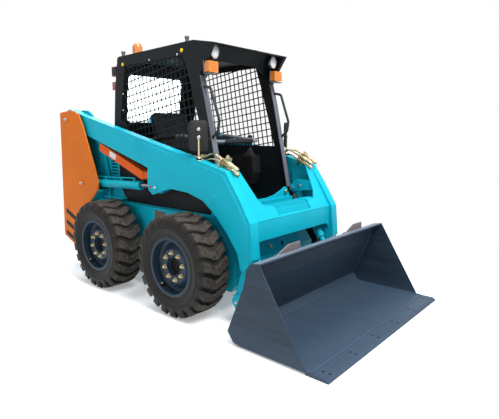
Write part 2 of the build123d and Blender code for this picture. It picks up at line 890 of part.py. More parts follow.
# x, z round the welded side plate's edge: rear, top, corner and front; it ends at the outline below
SIDE_PLATE_EDGE = (
    (-317, 800),
    (-317, 1279),
    (545, 1082),
    (606, 1064),
    (720, 906),
    (827, 738),
    (851, 498),
    (830, 380),
    (300, 380),
)
SIDE_PLATE = 6
ARM_END_RADIUS = 95
LEG_HALF_THICKNESS = 30
LEG_BOSS_RADIUS = 58
PIVOT_BOSS_RADIUS = 55
TILT_PLATE_Y = 388  # inner face of the tilt cylinder's inner bracket plate
TILT_PLATE = 10
EYE_STUB = 4  # how far a stub of the lift cylinder's pin reaches in from the lug's plate

with BuildPart() as lift_arms:
    with BuildSketch(side_plane(ARM_INNER_Y)):
        Polygon(*ARM_OUTLINE, align=None)
        Polygon((-1209, 1515), (-1124, 1321), (-1470, 1392), (-1445, 1579), align=None)
        with Locations(ARM_PIVOT):
            Circle(ARM_END_RADIUS)
        with Locations(ARM_PIVOT):
            Circle(PIN_RADIUS + RUNNING_CLEARANCE, mode=Mode.SUBTRACT)
    extrude(amount=ARM_OUTER_Y - ARM_INNER_Y)
    # bosses at the pivot, out to the tower's plates
    with BuildSketch(side_plane(TOWER_INNER_Y + 5)):
        with Locations(ARM_PIVOT):
            Circle(PIVOT_BOSS_RADIUS)
            Circle(PIN_RADIUS + RUNNING_CLEARANCE, mode=Mode.SUBTRACT)
    extrude(amount=TOWER_OUTER_Y - TOWER_PLATE - TOWER_INNER_Y - 10)
    # gap between the side plates of the lug, for the rod's eye
    with BuildSketch(side_plane(ARM_INNER_Y + ARM_PLATE)):
        Polygon((-320, 830), (-110, 830), (-110, 1045), (-320, 1045), align=None)
    extrude(amount=ARM_OUTER_Y - ARM_INNER_Y - 2 * ARM_PLATE, mode=Mode.SUBTRACT)
    # lower leg from the arm's tip to the coupler pin
    with BuildSketch(side_plane(CYLINDER_MID_Y - LEG_HALF_THICKNESS)):
        Polygon(
            (771, 403),
            (760, 450),
            (800, 500),
            (870, 500),
            (808, 404),
            (790, 190),
            (700, 190),
            align=None,
        )
        with Locations(COUPLER_PIVOT):
            Circle(LEG_BOSS_RADIUS)
    extrude(amount=2 * LEG_HALF_THICKNESS)
    with BuildSketch(side_plane(ARM_INNER_Y)):
        with Locations(COUPLER_PIVOT):
            Circle(PIN_RADIUS + RUNNING_CLEARANCE)
    extrude(amount=ARM_OUTER_Y - ARM_INNER_Y, mode=Mode.SUBTRACT)
    # pin stubs on the lug's plates; the rod's eye is open between them
    for y0 in (ARM_INNER_Y, ARM_OUTER_Y - ARM_PLATE - EYE_STUB):
        with BuildSketch(side_plane(y0)):
            with Locations(LIFT_EYE):
                Circle(PIN_RADIUS)
        extrude(amount=ARM_PLATE + EYE_STUB)
    # ear for the tilt cylinder's base, inside the arm
    with BuildSketch(side_plane(ARM_INNER_Y - 12)):
        Polygon((450, 890), (452, 1040), (620, 1050), (600, 860), align=None)
        with Locations(TILT_BASE):
            Circle(58)
    extrude(amount=12)
    with BuildSketch(side_plane(TILT_PLATE_Y - 6)):
        with Locations(TILT_BASE):
            Circle(PIN_RADIUS)
    extrude(amount=ARM_INNER_Y - TILT_PLATE_Y + 6)
    # side plate welded on, set in from the arm's top and front edges
    with BuildSketch(side_plane(ARM_OUTER_Y)):
        Polygon(*ARM_OUTLINE, align=None)
        Polygon(*SIDE_PLATE_EDGE, align=None, mode=Mode.INTERSECT)
    extrude(amount=SIDE_PLATE)
    mirror(about=Plane.XZ)
save(lift_arms.part, "lift_arms")

# cross member between the arms: front panel, sloped plate with wings, step and rear plate
CROSS_FOOT = (836, 745)  # x, z where the front panel turns into the sloped plate
SLOPE = radians(121.2)  # direction of the slope in the x-z plane
CROSS_TOP_Z = 826


def on_slope(z):
    """Distance up the sloped plate at height z."""
    return (z - CROSS_FOOT[1]) / sin(SLOPE)


def slope_x(z):
    """x of the sloped plate's front face at height z."""
    return CROSS_FOOT[0] + on_slope(z) * cos(SLOPE)


SLOPE_PLANE = Plane(
    (CROSS_FOOT[0], 0, CROSS_FOOT[1]), x_dir=(0, 1, 0), z_dir=(sin(SLOPE), 0, -cos(SLOPE))
)
# half width, height round the inner edge of a wing, from the step's foot to the elbow
WING_EDGE = (
    (219, 761),
    (212, 802),
    (230, 826),
    (311, 828),
    (333, 845),
    (363, 882),
    (400, 1003),
    (425, 1085),
)

with BuildPart() as arm_crossmember:
    with BuildSketch(SLOPE_PLANE):
        for sign in (-1, 1):
            Polygon(
                (0, 0),
                (0, on_slope(761)),
                *[(sign * y, on_slope(z)) for y, z in WING_EDGE],
                (sign * ARM_INNER_Y, on_slope(1085)),
                (sign * ARM_INNER_Y, 0),
                align=None,
            )
    extrude(amount=-10)
    # front panel, with its lower edge arched between the arms
    with BuildSketch(Plane.YZ.offset(CROSS_FOOT[0] - 14)):
        Polygon(
            (-ARM_INNER_Y, CROSS_FOOT[1] + 2),
            (-ARM_INNER_Y, 560),
            (-470, 588),
            (-440, 600),
            (440, 600),
            (470, 588),
            (ARM_INNER_Y, 560),
            (ARM_INNER_Y, CROSS_FOOT[1] + 2),
            align=None,
        )
    extrude(amount=12)
    # step tread, set back behind the sloped plate
    with BuildSketch(Plane.XZ):
        Polygon(
            (slope_x(752) - 8, 752),
            (slope_x(CROSS_TOP_Z) - 12, CROSS_TOP_Z - 6),
            (700, CROSS_TOP_Z - 6),
            (700, CROSS_TOP_Z - 16),
            (slope_x(CROSS_TOP_Z) - 22, CROSS_TOP_Z - 16),
            (slope_x(752) - 24, 752),
            align=None,
        )
    extrude(amount=240, both=True)
    # top plate and rear plate, which close the box
    with BuildSketch(Plane.XZ):
        Polygon(
            (slope_x(CROSS_TOP_Z) - 4, CROSS_TOP_Z),
            (696, CROSS_TOP_Z),
            (736, 600),
            (746, 600),
            (708, CROSS_TOP_Z - 10),
            (slope_x(CROSS_TOP_Z) - 4, CROSS_TOP_Z - 10),
            align=None,
        )
    extrude(amount=395, both=True)
    with BuildSketch(Plane.XY.offset(CROSS_TOP_Z - 6)):
        with Locations((745, 0)):
            Rectangle(90, 424)
    extrude(amount=20, mode=Mode.SUBTRACT)
    # inner bracket plates of the tilt cylinders, from the wings' rear faces to the pins
    for inner in (TILT_PLATE_Y, -TILT_PLATE_Y - TILT_PLATE):
        with BuildSketch(side_plane(inner)):
            Polygon(
                (TILT_BASE[0] - 24, TILT_BASE[1] + 24),
                (560, 962),
                (slope_x(962) - 5, 962),
                (slope_x(884) - 5, 884),
                (TILT_BASE[0] + 10, TILT_BASE[1] - 32),
                align=None,
            )
            with Locations(TILT_BASE):
                Circle(34)
            with Locations(TILT_BASE):
                Circle(PIN_RADIUS + RUNNING_CLEARANCE, mode=Mode.SUBTRACT)
        extrude(amount=TILT_PLATE)
save(arm_crossmember.part, "arm_crossmember")

with BuildPart() as lock_strut:
    with BuildSketch(side_plane(CYLINDER_MID_Y - 34)):
        Polygon((-965, 1266), (-325, 1036), (-350, 970), (-990, 1200), align=None)
    extrude(amount=68)
    with BuildSketch(side_plane(CYLINDER_MID_Y - 28)):
        Polygon((-360, 970), (-335, 1046), (-225, 1024), (-215, 1000), align=None)
    extrude(amount=56)
    with BuildSketch(side_plane(ARM_INNER_Y + ARM_PLATE)):
        with Locations((-232, 1010)):
            Circle(9)
    extrude(amount=ARM_OUTER_Y - ARM_INNER_Y - 2 * ARM_PLATE)
save(lock_strut.part, "lock_strut")

MIRROR = (335, 545)  # x, distance out, of the rod on the arm
MIRROR_BASE_Z = 1145
MIRROR_MID_Z = 1340
MIRROR_TOE = radians(36)  # how far the mirror's face turns in towards the driver
with BuildPart() as mirrors:
    x, out = MIRROR
    # base nut, rod
    for radius, length in ((20, 32), (7, 190)):
        with BuildSketch(Plane((x, -out, MIRROR_BASE_Z))):
            Circle(radius)
        extrude(amount=length)
    facing = (cos(MIRROR_TOE), -sin(MIRROR_TOE), 0)
    across = (sin(MIRROR_TOE), cos(MIRROR_TOE), 0)
    with BuildSketch(Plane((x, -out, MIRROR_MID_Z), x_dir=across, z_dir=facing)):
        RectangleRounded(140, 225, 25)
    extrude(amount=-26, taper=12)
    mirror(about=Plane.XZ)
    add(lift_arms.part, mode=Mode.SUBTRACT)
save(mirrors.part, "mirrors")

COUPLER_SLOPE = radians(-26)
# x, y, z where each coupler's pipe starts
AUXILIARY = (
    (505, -505, 1190),
    (480, -470, 1150),
    (505, 505, 1190),
    (480, 470, 1150),
    (500, 440, 1190),
)
# start along the pipe, length, radius: pipe, body, dust cap
AUXILIARY_STEPS = ((0, 90, 9), (90, 55, 19), (145, 60, 15))
AUXILIARY_PLATE = (535, 490, 1130)  # x, distance out, z
with BuildPart() as auxiliary_couplers:
    along = (cos(COUPLER_SLOPE), 0, sin(COUPLER_SLOPE))
    for place in AUXILIARY:
        for start, length, radius in AUXILIARY_STEPS:
            with BuildSketch(Plane(place, x_dir=(0, 1, 0), z_dir=along).offset(start)):
                Circle(radius)
            extrude(amount=length)
    x, out, z = AUXILIARY_PLATE
    for y in (-out, out):
        with BuildSketch(Plane((x, y, z), x_dir=(0, 1, 0), z_dir=along)):
            Rectangle(130, 130)
        extrude(amount=8)
    add(lift_arms.part, mode=Mode.SUBTRACT)
    add(arm_crossmember.part, mode=Mode.SUBTRACT)
save(auxiliary_couplers.part, "auxiliary_couplers")

# ---------------------------------------------------------------- cylinders
def cylinder_frame(base, eye, mid_y):
    """A plane at the cylinder's base eye, local z along the cylinder, local y along the pins."""
    dx, dz = eye[0] - base[0], eye[1] - base[1]
    return Plane((base[0], -mid_y, base[1]), x_dir=(dz, 0, -dx), z_dir=(dx, 0, dz))


def make_barrel(base, eye, mid_y, radius, length, eye_radius, eye_width):
    """Cylinder barrel with its base eye and gland."""
    frame = cylinder_frame(base, eye, mid_y)
    with BuildPart() as barrel:
        with BuildSketch(frame.offset(eye_radius * 0.6)):
            Circle(radius)
        extrude(amount=length - eye_radius * 0.6)
        with BuildSketch(side_plane(mid_y - eye_width / 2)):
            with Locations(base):
                Circle(eye_radius)
        extrude(amount=eye_width)
        with BuildSketch(side_plane(mid_y - eye_width / 2 - 5)):
            with Locations(base):
                Circle(PIN_RADIUS + RUNNING_CLEARANCE)
        extrude(amount=eye_width + 10, mode=Mode.SUBTRACT)
        # bore for the rod, as wide as the rod so that it guides it
        with BuildSketch(frame.offset(eye_radius + 6)):
            Circle(ROD_RADIUS + RUNNING_CLEARANCE)
        extrude(amount=length, mode=Mode.SUBTRACT)
        # gland
        with BuildSketch(frame.offset(length - 34)):
            Circle(radius + 2)
            Circle(ROD_RADIUS + RUNNING_CLEARANCE, mode=Mode.SUBTRACT)
        extrude(amount=34)
    return barrel.part


def make_rod(base, eye, mid_y, start, eye_radius, eye_width):
    """Cylinder rod from inside the barrel to its eye; the eye stays clear of the pin's stubs."""
    frame = cylinder_frame(base, eye, mid_y)
    span = hypot(eye[0] - base[0], eye[1] - base[1])
    with BuildPart() as rod:
        with BuildSketch(frame.offset(start)):
            Circle(ROD_RADIUS)
        extrude(amount=span - start - eye_radius * 0.8)
        with BuildSketch(side_plane(mid_y - eye_width / 2)):
            with Locations(eye):
                Circle(eye_radius)
                Circle(PIN_RADIUS + 2, mode=Mode.SUBTRACT)
        extrude(amount=eye_width)
    return rod.part


def both_sides(part):
    """The right-hand piece and its mirror image, as one node of two solids."""
    return Compound(children=[part, mirror(part, about=Plane.XZ)])


LIFT_BARREL = dict(radius=37.5, length=840, eye_radius=44, eye_width=84)
LIFT_ROD = dict(start=150, eye_radius=42, eye_width=44)
TILT_BARREL = dict(radius=31, length=492, eye_radius=38, eye_width=50)
TILT_ROD = dict(start=118, eye_radius=34, eye_width=40)
save(both_sides(make_barrel(LIFT_BASE, LIFT_EYE, CYLINDER_MID_Y, **LIFT_BARREL)), "lift_barrels")
save(both_sides(make_rod(LIFT_BASE, LIFT_EYE, CYLINDER_MID_Y, **LIFT_ROD)), "lift_rods")
save(both_sides(make_barrel(TILT_BASE, TILT_EYE, TILT_MID_Y, **TILT_BARREL)), "tilt_barrels")
save(both_sides(make_rod(TILT_BASE, TILT_EYE, TILT_MID_Y, **TILT_ROD)), "tilt_rods")

# ---------------------------------------------------------------- quick coupler
# the coupler's plate lies against the bucket's back
COUPLER_LINE = ((897, 97.4), (1031, 411), (1049, 489))  # x, z of its front face
COUPLER_PLATE = 14
# middle of each ear out from the centre, and whether it also carries the tilt rod's eye
COUPLER_EARS = ((390, True), (479, True), (573, False))
EAR = 12  # thickness

with BuildPart() as quick_coupler:
    with BuildSketch(Plane.XZ):
        Polygon(
            *COUPLER_LINE,
            *[(x - COUPLER_PLATE * 1.05, z + COUPLER_PLATE * 0.3) for x, z in reversed(COUPLER_LINE)],
            align=None,
        )
    extrude(amount=610, both=True)
    # ears: two straddle the tilt rod, and the second and third the arm's leg
    for middle, with_tilt in COUPLER_EARS:
        with BuildSketch(side_plane(middle - EAR / 2)):
            if with_tilt:
                Polygon(
                    (720, 115),
                    (886, 102),
                    (1016, 411),
                    (1026, 450),
                    (850, 425),
                    (700, 210),
                    align=None,
                )
                with Locations(TILT_EYE):
                    Circle(38)
            else:
                Polygon((720, 115), (886, 102), (965, 290), (700, 210), align=None)
            with Locations(COUPLER_PIVOT):
                Circle(50)
        extrude(amount=EAR)
    # pivot pins through the legs and the ears on both sides of them
    inner_ear, outer_ear = COUPLER_EARS[1][0], COUPLER_EARS[2][0]
    with BuildSketch(side_plane(inner_ear - EAR / 2)):
        with Locations(COUPLER_PIVOT):
            Circle(PIN_RADIUS)
    extrude(amount=outer_ear - inner_ear + EAR)
    mirror(about=Plane.XZ)
save(quick_coupler.part, "quick_coupler")

# ---------------------------------------------------------------- bucket
# x, z of the shell's outside, from the top lip round the heel to the cutting edge
BUCKET_SHELL = (
    (1155, 583),
    (1088, 573),
    (1056, 519),
    (1031, 411),
    (893, 88),
    (942, 22),
    (1000, 12),
    (1543, 12),
)
EDGE_BOLT_X = 1599.5  # middle of each pair
EDGE_BOLT_PITCH = (43, 308)  # within a pair, from pair to pair
EDGE_BOLT_RADIUS = 8.5
with BuildPart() as bucket:
    with BuildSketch(Plane.XZ):
        with BuildLine():
            Polyline(*BUCKET_SHELL)
            offset(amount=PLATE, side=Side.LEFT, closed=True)
        make_face()
    extrude(amount=BUCKET_HALF_WIDTH, both=True)
    # side plates
    with BuildSketch(side_plane(BUCKET_HALF_WIDTH - PLATE)):
        Polygon(*BUCKET_SHELL[:-1], (1490, 12), (1495, 30), align=None)
    extrude(amount=PLATE)
    mirror(about=Plane.XZ)
    # cutting edge
    with BuildSketch(Plane.XZ):
        Polygon(
            (1500, 2),
            (1657, 2),
            (1657, 5),
            (1636, 22),
            (1543, 22),
            (1543, 12),
            (1500, 12),
            align=None,
        )
    extrude(amount=BUCKET_HALF_WIDTH, both=True)
    # bolt holes of the replaceable edge, in pairs
    with BuildSketch():
        with Locations((EDGE_BOLT_X, 0)):
            with GridLocations(EDGE_BOLT_PITCH[0], EDGE_BOLT_PITCH[1], 2, 6):
                Circle(EDGE_BOLT_RADIUS)
    extrude(amount=40, mode=Mode.SUBTRACT)
save(bucket.part, "bucket")

# wedge brackets standing on the top lip, behind it
with BuildPart() as bucket_brackets:
    for centre in (-450, 450):
        with BuildSketch(Plane.YZ.offset(1076)):
            Polygon(
                (centre - 152, 556),
                (centre + 150, 556),
                (centre + 144, 622),
                (centre + 14, 622),
                align=None,
            )
        extrude(amount=12)
    add(bucket.part, mode=Mode.SUBTRACT)
save(bucket_brackets.part, "bucket_brackets")
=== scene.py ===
"""Looks of the skid steer loader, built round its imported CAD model.

Metres, in the CAD model's frame: +X forward to the bucket, +Y to the machine's left, +Z up.
Bare numbers are places and sizes on that model. A pair (x, z) lies in a side plane, and
`out` is a distance from the middle plane, the same on both sides.
"""
import json
from math import cos, exp, hypot, pi, radians, sin, sqrt

import bmesh
import bpy
from mathutils import Matrix, Vector

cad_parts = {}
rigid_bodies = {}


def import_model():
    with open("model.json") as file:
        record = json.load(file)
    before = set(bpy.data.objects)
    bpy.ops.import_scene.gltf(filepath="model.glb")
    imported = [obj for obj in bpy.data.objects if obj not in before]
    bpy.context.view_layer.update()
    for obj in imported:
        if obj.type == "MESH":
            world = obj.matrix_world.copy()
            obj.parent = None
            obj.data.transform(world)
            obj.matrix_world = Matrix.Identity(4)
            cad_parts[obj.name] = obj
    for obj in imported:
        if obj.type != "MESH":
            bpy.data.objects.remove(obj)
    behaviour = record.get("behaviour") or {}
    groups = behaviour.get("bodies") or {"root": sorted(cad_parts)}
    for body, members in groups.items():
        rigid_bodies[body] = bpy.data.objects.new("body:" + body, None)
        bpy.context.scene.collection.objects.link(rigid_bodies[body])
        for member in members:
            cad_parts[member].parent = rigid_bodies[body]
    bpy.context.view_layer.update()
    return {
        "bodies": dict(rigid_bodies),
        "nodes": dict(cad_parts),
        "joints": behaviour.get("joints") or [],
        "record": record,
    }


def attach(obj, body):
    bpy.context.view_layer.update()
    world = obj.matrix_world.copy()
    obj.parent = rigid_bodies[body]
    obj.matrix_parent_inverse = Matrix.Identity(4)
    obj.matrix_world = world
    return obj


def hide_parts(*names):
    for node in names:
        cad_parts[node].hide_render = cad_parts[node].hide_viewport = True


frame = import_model()
scene = bpy.context.scene

# --- colours, linear
TEAL = (0.003, 0.375, 0.49)
ORANGE = (0.6, 0.136, 0.001)
STRUT_ORANGE = (0.6, 0.092, 0.01)
CAB_BLACK = (0.0065, 0.0085, 0.0105)
SLATE = (0.022, 0.036, 0.056)
RIM_SLATE = (0.016, 0.032, 0.05)
PAINTED_REFLECTION_GREY = (0.115, 0.125, 0.15)
ZINC = (0.62, 0.51, 0.31)
BRIGHT_ZINC = (0.55, 0.55, 0.56)
RUBBER = (0.0085, 0.008, 0.0075)
DUST = (0.105, 0.085, 0.068)
WHITE = (1.0, 1.0, 1.0)


# --- materials
class Graph:
    """Short way to write a material's node graph."""

    def __init__(self, name):
        self.material = bpy.data.materials.new(name)
        self.material.use_nodes = True
        self.tree = self.material.node_tree
        self.tree.nodes.clear()
        self.out = self.node("ShaderNodeOutputMaterial")
        self.shader = self.node("ShaderNodeBsdfPrincipled")
        self.link(self.shader.outputs["BSDF"], self.out.inputs["Surface"])
        self.where = self.node("ShaderNodeTexCoord").outputs["Object"]

    def node(self, kind, **values):
        made = self.tree.nodes.new(kind)
        for key, value in values.items():
            setattr(made, key, value)
        return made

    def link(self, a, b):
        self.tree.links.new(a, b)

    def feed(self, socket, value):
        """Sets a socket to a number or a colour, or links it to another node's output."""
        if isinstance(value, tuple):
            socket.default_value = (*value, 1.0)
        elif isinstance(value, (int, float)):
            socket.default_value = value
        else:
            self.link(value, socket)

    def fill(self, node, **values):
        """Feeds a node's sockets by name."""
        for key, value in values.items():
            self.feed(node.inputs[key.replace("_", " ")], value)

    def set(self, **values):
        """Feeds the shader's own sockets."""
        self.fill(self.shader, **values)

    def axis(self, name):
        split = self.node("ShaderNodeSeparateXYZ")
        self.link(self.where, split.inputs[0])
        return split.outputs[name]

    def noise(self, scale, detail=4.0, roughness=0.5, stretch=None):
        made = self.node("ShaderNodeTexNoise")
        vector = self.where
        if stretch:
            mapping = self.node("ShaderNodeMapping")
            mapping.inputs["Scale"].default_value = stretch
            self.link(self.where, mapping.inputs["Vector"])
            vector = mapping.outputs["Vector"]
        self.fill(made, Vector=vector, Scale=scale, Detail=detail, Roughness=roughness)
        return made.outputs["Fac"]

    def remap(self, value, low, high, to_low=0.0, to_high=1.0):
        made = self.node("ShaderNodeMapRange")
        self.fill(made, Value=value, From_Min=low, From_Max=high, To_Min=to_low, To_Max=to_high)
        return made.outputs["Result"]

    def times(self, a, b):
        made = self.node("ShaderNodeMath", operation="MULTIPLY")
        self.feed(made.inputs[0], a)
        self.feed(made.inputs[1], b)
        return made.outputs[0]

    def mix(self, share, a, b):
        made = self.node("ShaderNodeMix", data_type="RGBA")
        # the colour mix has its share at socket 0 and its two colours at 6 and 7
        for number, value in ((0, share), (6, a), (7, b)):
            self.feed(made.inputs[number], value)
        return made.outputs[2]

    def normal(self, height, strength, distance, edge=0.0):
        """Bump of a height, over edges rounded by `edge` metres."""
        made = self.node("ShaderNodeBump")
        self.fill(made, Strength=strength, Distance=distance, Height=height)
        if edge:
            bevel = self.node("ShaderNodeBevel", samples=4)
            self.fill(bevel, Radius=edge)
            self.fill(made, Normal=bevel.outputs["Normal"])
        self.set(Normal=made.outputs["Normal"])


def shade(colour, factor):
    return tuple(min(1.0, c * factor) for c in colour)


def paint(name, colour, roughness=0.42, coat=0.05, dust=0.0, edge=0.003):
    """Sprayed enamel: faint orange peel, slight changes of tone, dust low down."""
    g = Graph(name)
    tone = g.mix(g.remap(g.noise(2.6), 0.35, 0.65), shade(colour, 0.95), shade(colour, 1.05))
    if dust:
        low = g.remap(g.axis("Z"), 0.55, 0.02)
        spots = g.remap(g.noise(16.0, 9.0, 0.68), 0.42, 0.75)
        tone = g.mix(g.times(g.times(low, spots), dust), tone, DUST)
    gloss = g.remap(g.noise(7.0, 6.0), 0.3, 0.75, roughness * 0.88, roughness * 1.2)
    g.set(Base_Color=tone, Roughness=gloss)
    g.set(Coat_Weight=coat, Coat_Roughness=0.18, Specular_IOR_Level=0.12)
    g.normal(g.noise(260.0, 2.0), 0.035, 0.001, edge)
    return g.material


def streaked_steel_and_highlight(name, colour):
    """Bucket paint: brushed by the load along x, and lighter low down as a painted highlight on its
    floor.
    """
    g = Graph(name)
    streaks = g.noise(9.0, 7.0, 0.62, (0.35, 5.0, 3.0))
    tone = g.mix(g.remap(streaks, 0.38, 0.7), shade(colour, 0.86), shade(colour, 1.32))
    # lighter tone on the floor and cutting edge: painted highlight of the light from above
    low = g.remap(g.axis("Z"), 0.16, 0.0)
    tone = g.mix(g.times(low, 0.55), tone, shade(colour, 2.1))
    g.set(Base_Color=tone, Roughness=g.remap(streaks, 0.3, 0.7, 0.36, 0.52))
    g.set(Coat_Weight=0.04, Coat_Roughness=0.3, Specular_IOR_Level=0.12)
    g.normal(g.noise(150.0, 5.0, 0.6, (0.5, 4.0, 2.0)), 0.06, 0.0006, 0.003)
    return g.material


def metal(name, colour, roughness=0.3):
    """Plated or bare metal with a fine grain and handling marks."""
    g = Graph(name)
    tone = g.mix(g.noise(45.0, 6.0), shade(colour, 0.72), shade(colour, 1.12))
    gloss = g.remap(g.noise(70.0, 5.0), 0.3, 0.7, roughness * 0.7, roughness * 1.35)
    g.set(Base_Color=tone, Roughness=gloss, Metallic=1.0)
    g.normal(g.noise(520.0, 3.0), 0.08, 0.0004, 0.0008)
    return g.material


def plastic(name, colour, roughness=0.5, grain=900.0):
    """Moulded plastic or vinyl with a leathery grain."""
    g = Graph(name)
    tone = g.mix(g.noise(20.0), shade(colour, 0.85), shade(colour, 1.18))
    gloss = g.remap(g.noise(30.0), 0.3, 0.7, roughness * 0.9, roughness * 1.1)
    g.set(Base_Color=tone, Roughness=gloss, Specular_IOR_Level=0.25)
    g.normal(g.noise(grain, 3.0), 0.22, 0.0006, 0.0015)
    return g.material


def rubber(name):
    """Tyre rubber, with grey-brown dust on the faces of the tread."""
    g = Graph(name)
    tone = g.mix(g.noise(24.0, 8.0, 0.7), shade(RUBBER, 0.8), shade(RUBBER, 1.7))
    tread = g.node("ShaderNodeAttribute", attribute_name="tread").outputs["Fac"]
    worn = g.times(tread, g.remap(g.noise(38.0, 9.0, 0.7), 0.36, 0.66))
    g.set(Base_Color=g.mix(g.times(worn, 0.62), tone, DUST))
    g.set(Roughness=g.remap(worn, 0.0, 1.0, 0.5, 0.85), Specular_IOR_Level=0.15)
    g.normal(g.noise(210.0, 7.0, 0.62), 0.3, 0.0012, 0.0025)
    return g.material


def lens(name, colour, clear=0.3):
    """Moulded lamp lens with fine flutes inside."""
    g = Graph(name)
    g.set(Base_Color=g.mix(g.noise(60.0), shade(colour, 0.8), shade(colour, 1.15)))
    g.set(Roughness=0.1, Transmission_Weight=clear, Coat_Weight=0.8, Coat_Roughness=0.05)
    flutes = g.node("ShaderNodeTexWave", bands_direction="Z")
    g.fill(flutes, Scale=55.0, Vector=g.where)
    g.normal(flutes.outputs["Fac"], 0.3, 0.001)
    return g.material


def polished(name, colour, waves, strength, **values):
    """Window or mirror glass, very slightly waved."""
    g = Graph(name)
    g.set(Base_Color=colour, **values)
    g.normal(g.noise(waves), strength, 0.001)
    return g.material


WINDOW = {"Roughness": 0.02, "Transmission_Weight": 1.0, "IOR": 1.1}
MIRROR = {"Metallic": 1.0, "Roughness": 0.04}
# by look: a material slot of the record, and the material
FINISHES = {
    "body": ("arm_teal", paint("teal_enamel", TEAL, dust=0.25)),
    "orange": ("orange_paint", paint("orange_enamel", ORANGE, dust=0.15)),
    "strut": ("strut_orange", paint("strut_enamel", STRUT_ORANGE)),
    "label": ("handle_grey", paint("label_white", (0.62, 0.62, 0.64), 0.5, 0.1, edge=0.0)),
    "stripe": ("cab_black", paint("stripe_black", (0.006, 0.006, 0.007), edge=0.0)),
    "cab": ("cab_black", paint("cab_enamel", CAB_BLACK, 0.46, 0.02)),
    "bucket": ("bucket_slate", streaked_steel_and_highlight("bucket_enamel", SLATE)),
    # bucket weld beads: the slate paint made lighter, a painted highlight
    "bead": ("bucket_slate", paint("weld_painted_highlight", shade(SLATE, 2.2), 0.38, 0.1, edge=0.0)),
    # lighter band on the bucket's lip: painted highlight
    "lip": ("bucket_slate", paint("lip_painted_highlight", (0.115, 0.145, 0.185), 0.46, edge=0.0)),
    "bracket": ("bracket_grey", paint("bracket_primer", (0.15, 0.132, 0.136), 0.55)),
    "pad": ("bracket_grey", plastic("grip_pad", (0.13, 0.1, 0.085), 0.85, 420.0)),
    "rim": ("rim_slate", paint("rim_enamel", RIM_SLATE, coat=0.1, edge=0.002)),
    # grey strip on the pillars' front faces: painted reflection of the bright sky on black paint
    "reflection_grey": ("handle_grey", paint("pillar_painted_reflection", PAINTED_REFLECTION_GREY, coat=0.08)),
    "handle": ("screen_black", paint("handle_enamel", (0.022, 0.025, 0.03), 0.34, 0.15)),
    "bar": ("handle_grey", paint("lap_bar_enamel", (0.17, 0.18, 0.2), 0.4, 0.08)),
    "chrome": ("rod_chrome", metal("rod_chrome", (0.3, 0.31, 0.33), 0.16)),
    "zinc": ("zinc_steel", metal("zinc_plate", ZINC, 0.34)),
    "bright": ("zinc_steel", metal("bright_zinc", BRIGHT_ZINC)),
    "iron": ("engine_iron", metal("engine_iron", (0.05, 0.05, 0.055), 0.6)),
    "tyre": ("tyre_rubber", rubber("tyre_rubber")),
    "plastic": ("mirror_plastic", plastic("black_plastic", (0.01, 0.01, 0.011))),
    "boot": ("lever_plastic", plastic("boot_rubber", (0.012, 0.012, 0.013), 0.62, 500.0)),
    "grey": ("handle_grey", plastic("grey_plastic", (0.1, 0.105, 0.115), 0.45)),
    "seat": ("seat_vinyl", plastic("seat_vinyl", (0.03, 0.031, 0.036), 0.55, 480.0)),
    "seam": ("seat_vinyl", plastic("seat_thread", (0.075, 0.077, 0.085), 0.8, 700.0)),
    "red": ("tail_lens", plastic("red_cap", (0.45, 0.01, 0.012), 0.4)),
    "yellow": ("amber_lens", plastic("yellow_plug", (0.75, 0.52, 0.01), 0.4)),
    "shadow": ("screen_black", plastic("dark_recess", (0.003, 0.003, 0.003), 0.9)),
    "amber": ("amber_lens", lens("amber_lens", (0.8, 0.24, 0.008))),
    "tail": ("tail_lens", lens("tail_lens", (0.32, 0.008, 0.008))),
    "lamp": ("lamp_lens", lens("lamp_lens", (0.8, 0.8, 0.82), clear=0.15)),
    "glass": ("clear_glass", polished("window_glass", (0.86, 0.93, 0.94), 3.0, 0.02, **WINDOW)),
    "mirror": ("clear_glass", polished("mirror_glass", (0.75, 0.78, 0.8), 2.0, 0.01, **MIRROR)),
}
# the start of a CAD node's name, and its look; the rest are teal
NODE_LOOKS = {
    "tower_plates": "orange", "lock_strut": "strut", "cab_": "cab", "side_screen": "cab",
    "bucket_brackets": "bracket", "bucket": "bucket", "grab_handles": "handle", "lap_bar": "bar",
    "lift_rods": "chrome", "engine_sides": "body", "engine": "iron", "mirrors": "plastic",
    "control_levers": "plastic", "headlamps": "plastic", "amber_lamps": "amber",
    "tail_lamps": "tail", "rear_window": "glass", "tyre": "tyre", "rim": "rim", "hub": "rim",
}

for node, obj in frame["nodes"].items():
    look = next((look for start, look in NODE_LOOKS.items() if node.startswith(start)), "body")
    obj.data.materials.clear()
    obj.data.materials.append(FINISHES[look][1])


def add(name, data):
    obj = bpy.data.objects.new(name, data)
    scene.collection.objects.link(obj)
    return obj


# --- mesh helpers
FORWARD, REARWARD, LEFT, UP = (1, 0, 0), (-1, 0, 0), (0, 1, 0), (0, 0, 1)


def at(origin, facing=UP, up=UP):
    """A frame at a point: local z along `facing`, local y as near to `up` as it can be."""
    z = Vector(facing).normalized()
    x = Vector(up).cross(z)
    x = x.normalized() if x.length > 1e-6 else Vector((1, 0, 0))
    y = z.cross(x)
    return Matrix.Translation(origin) @ Matrix((x, y, z)).transposed().to_4x4()


def turns(count):
    """Angles of equal steps round a full turn."""
    return [2 * pi * k / count for k in range(count)]


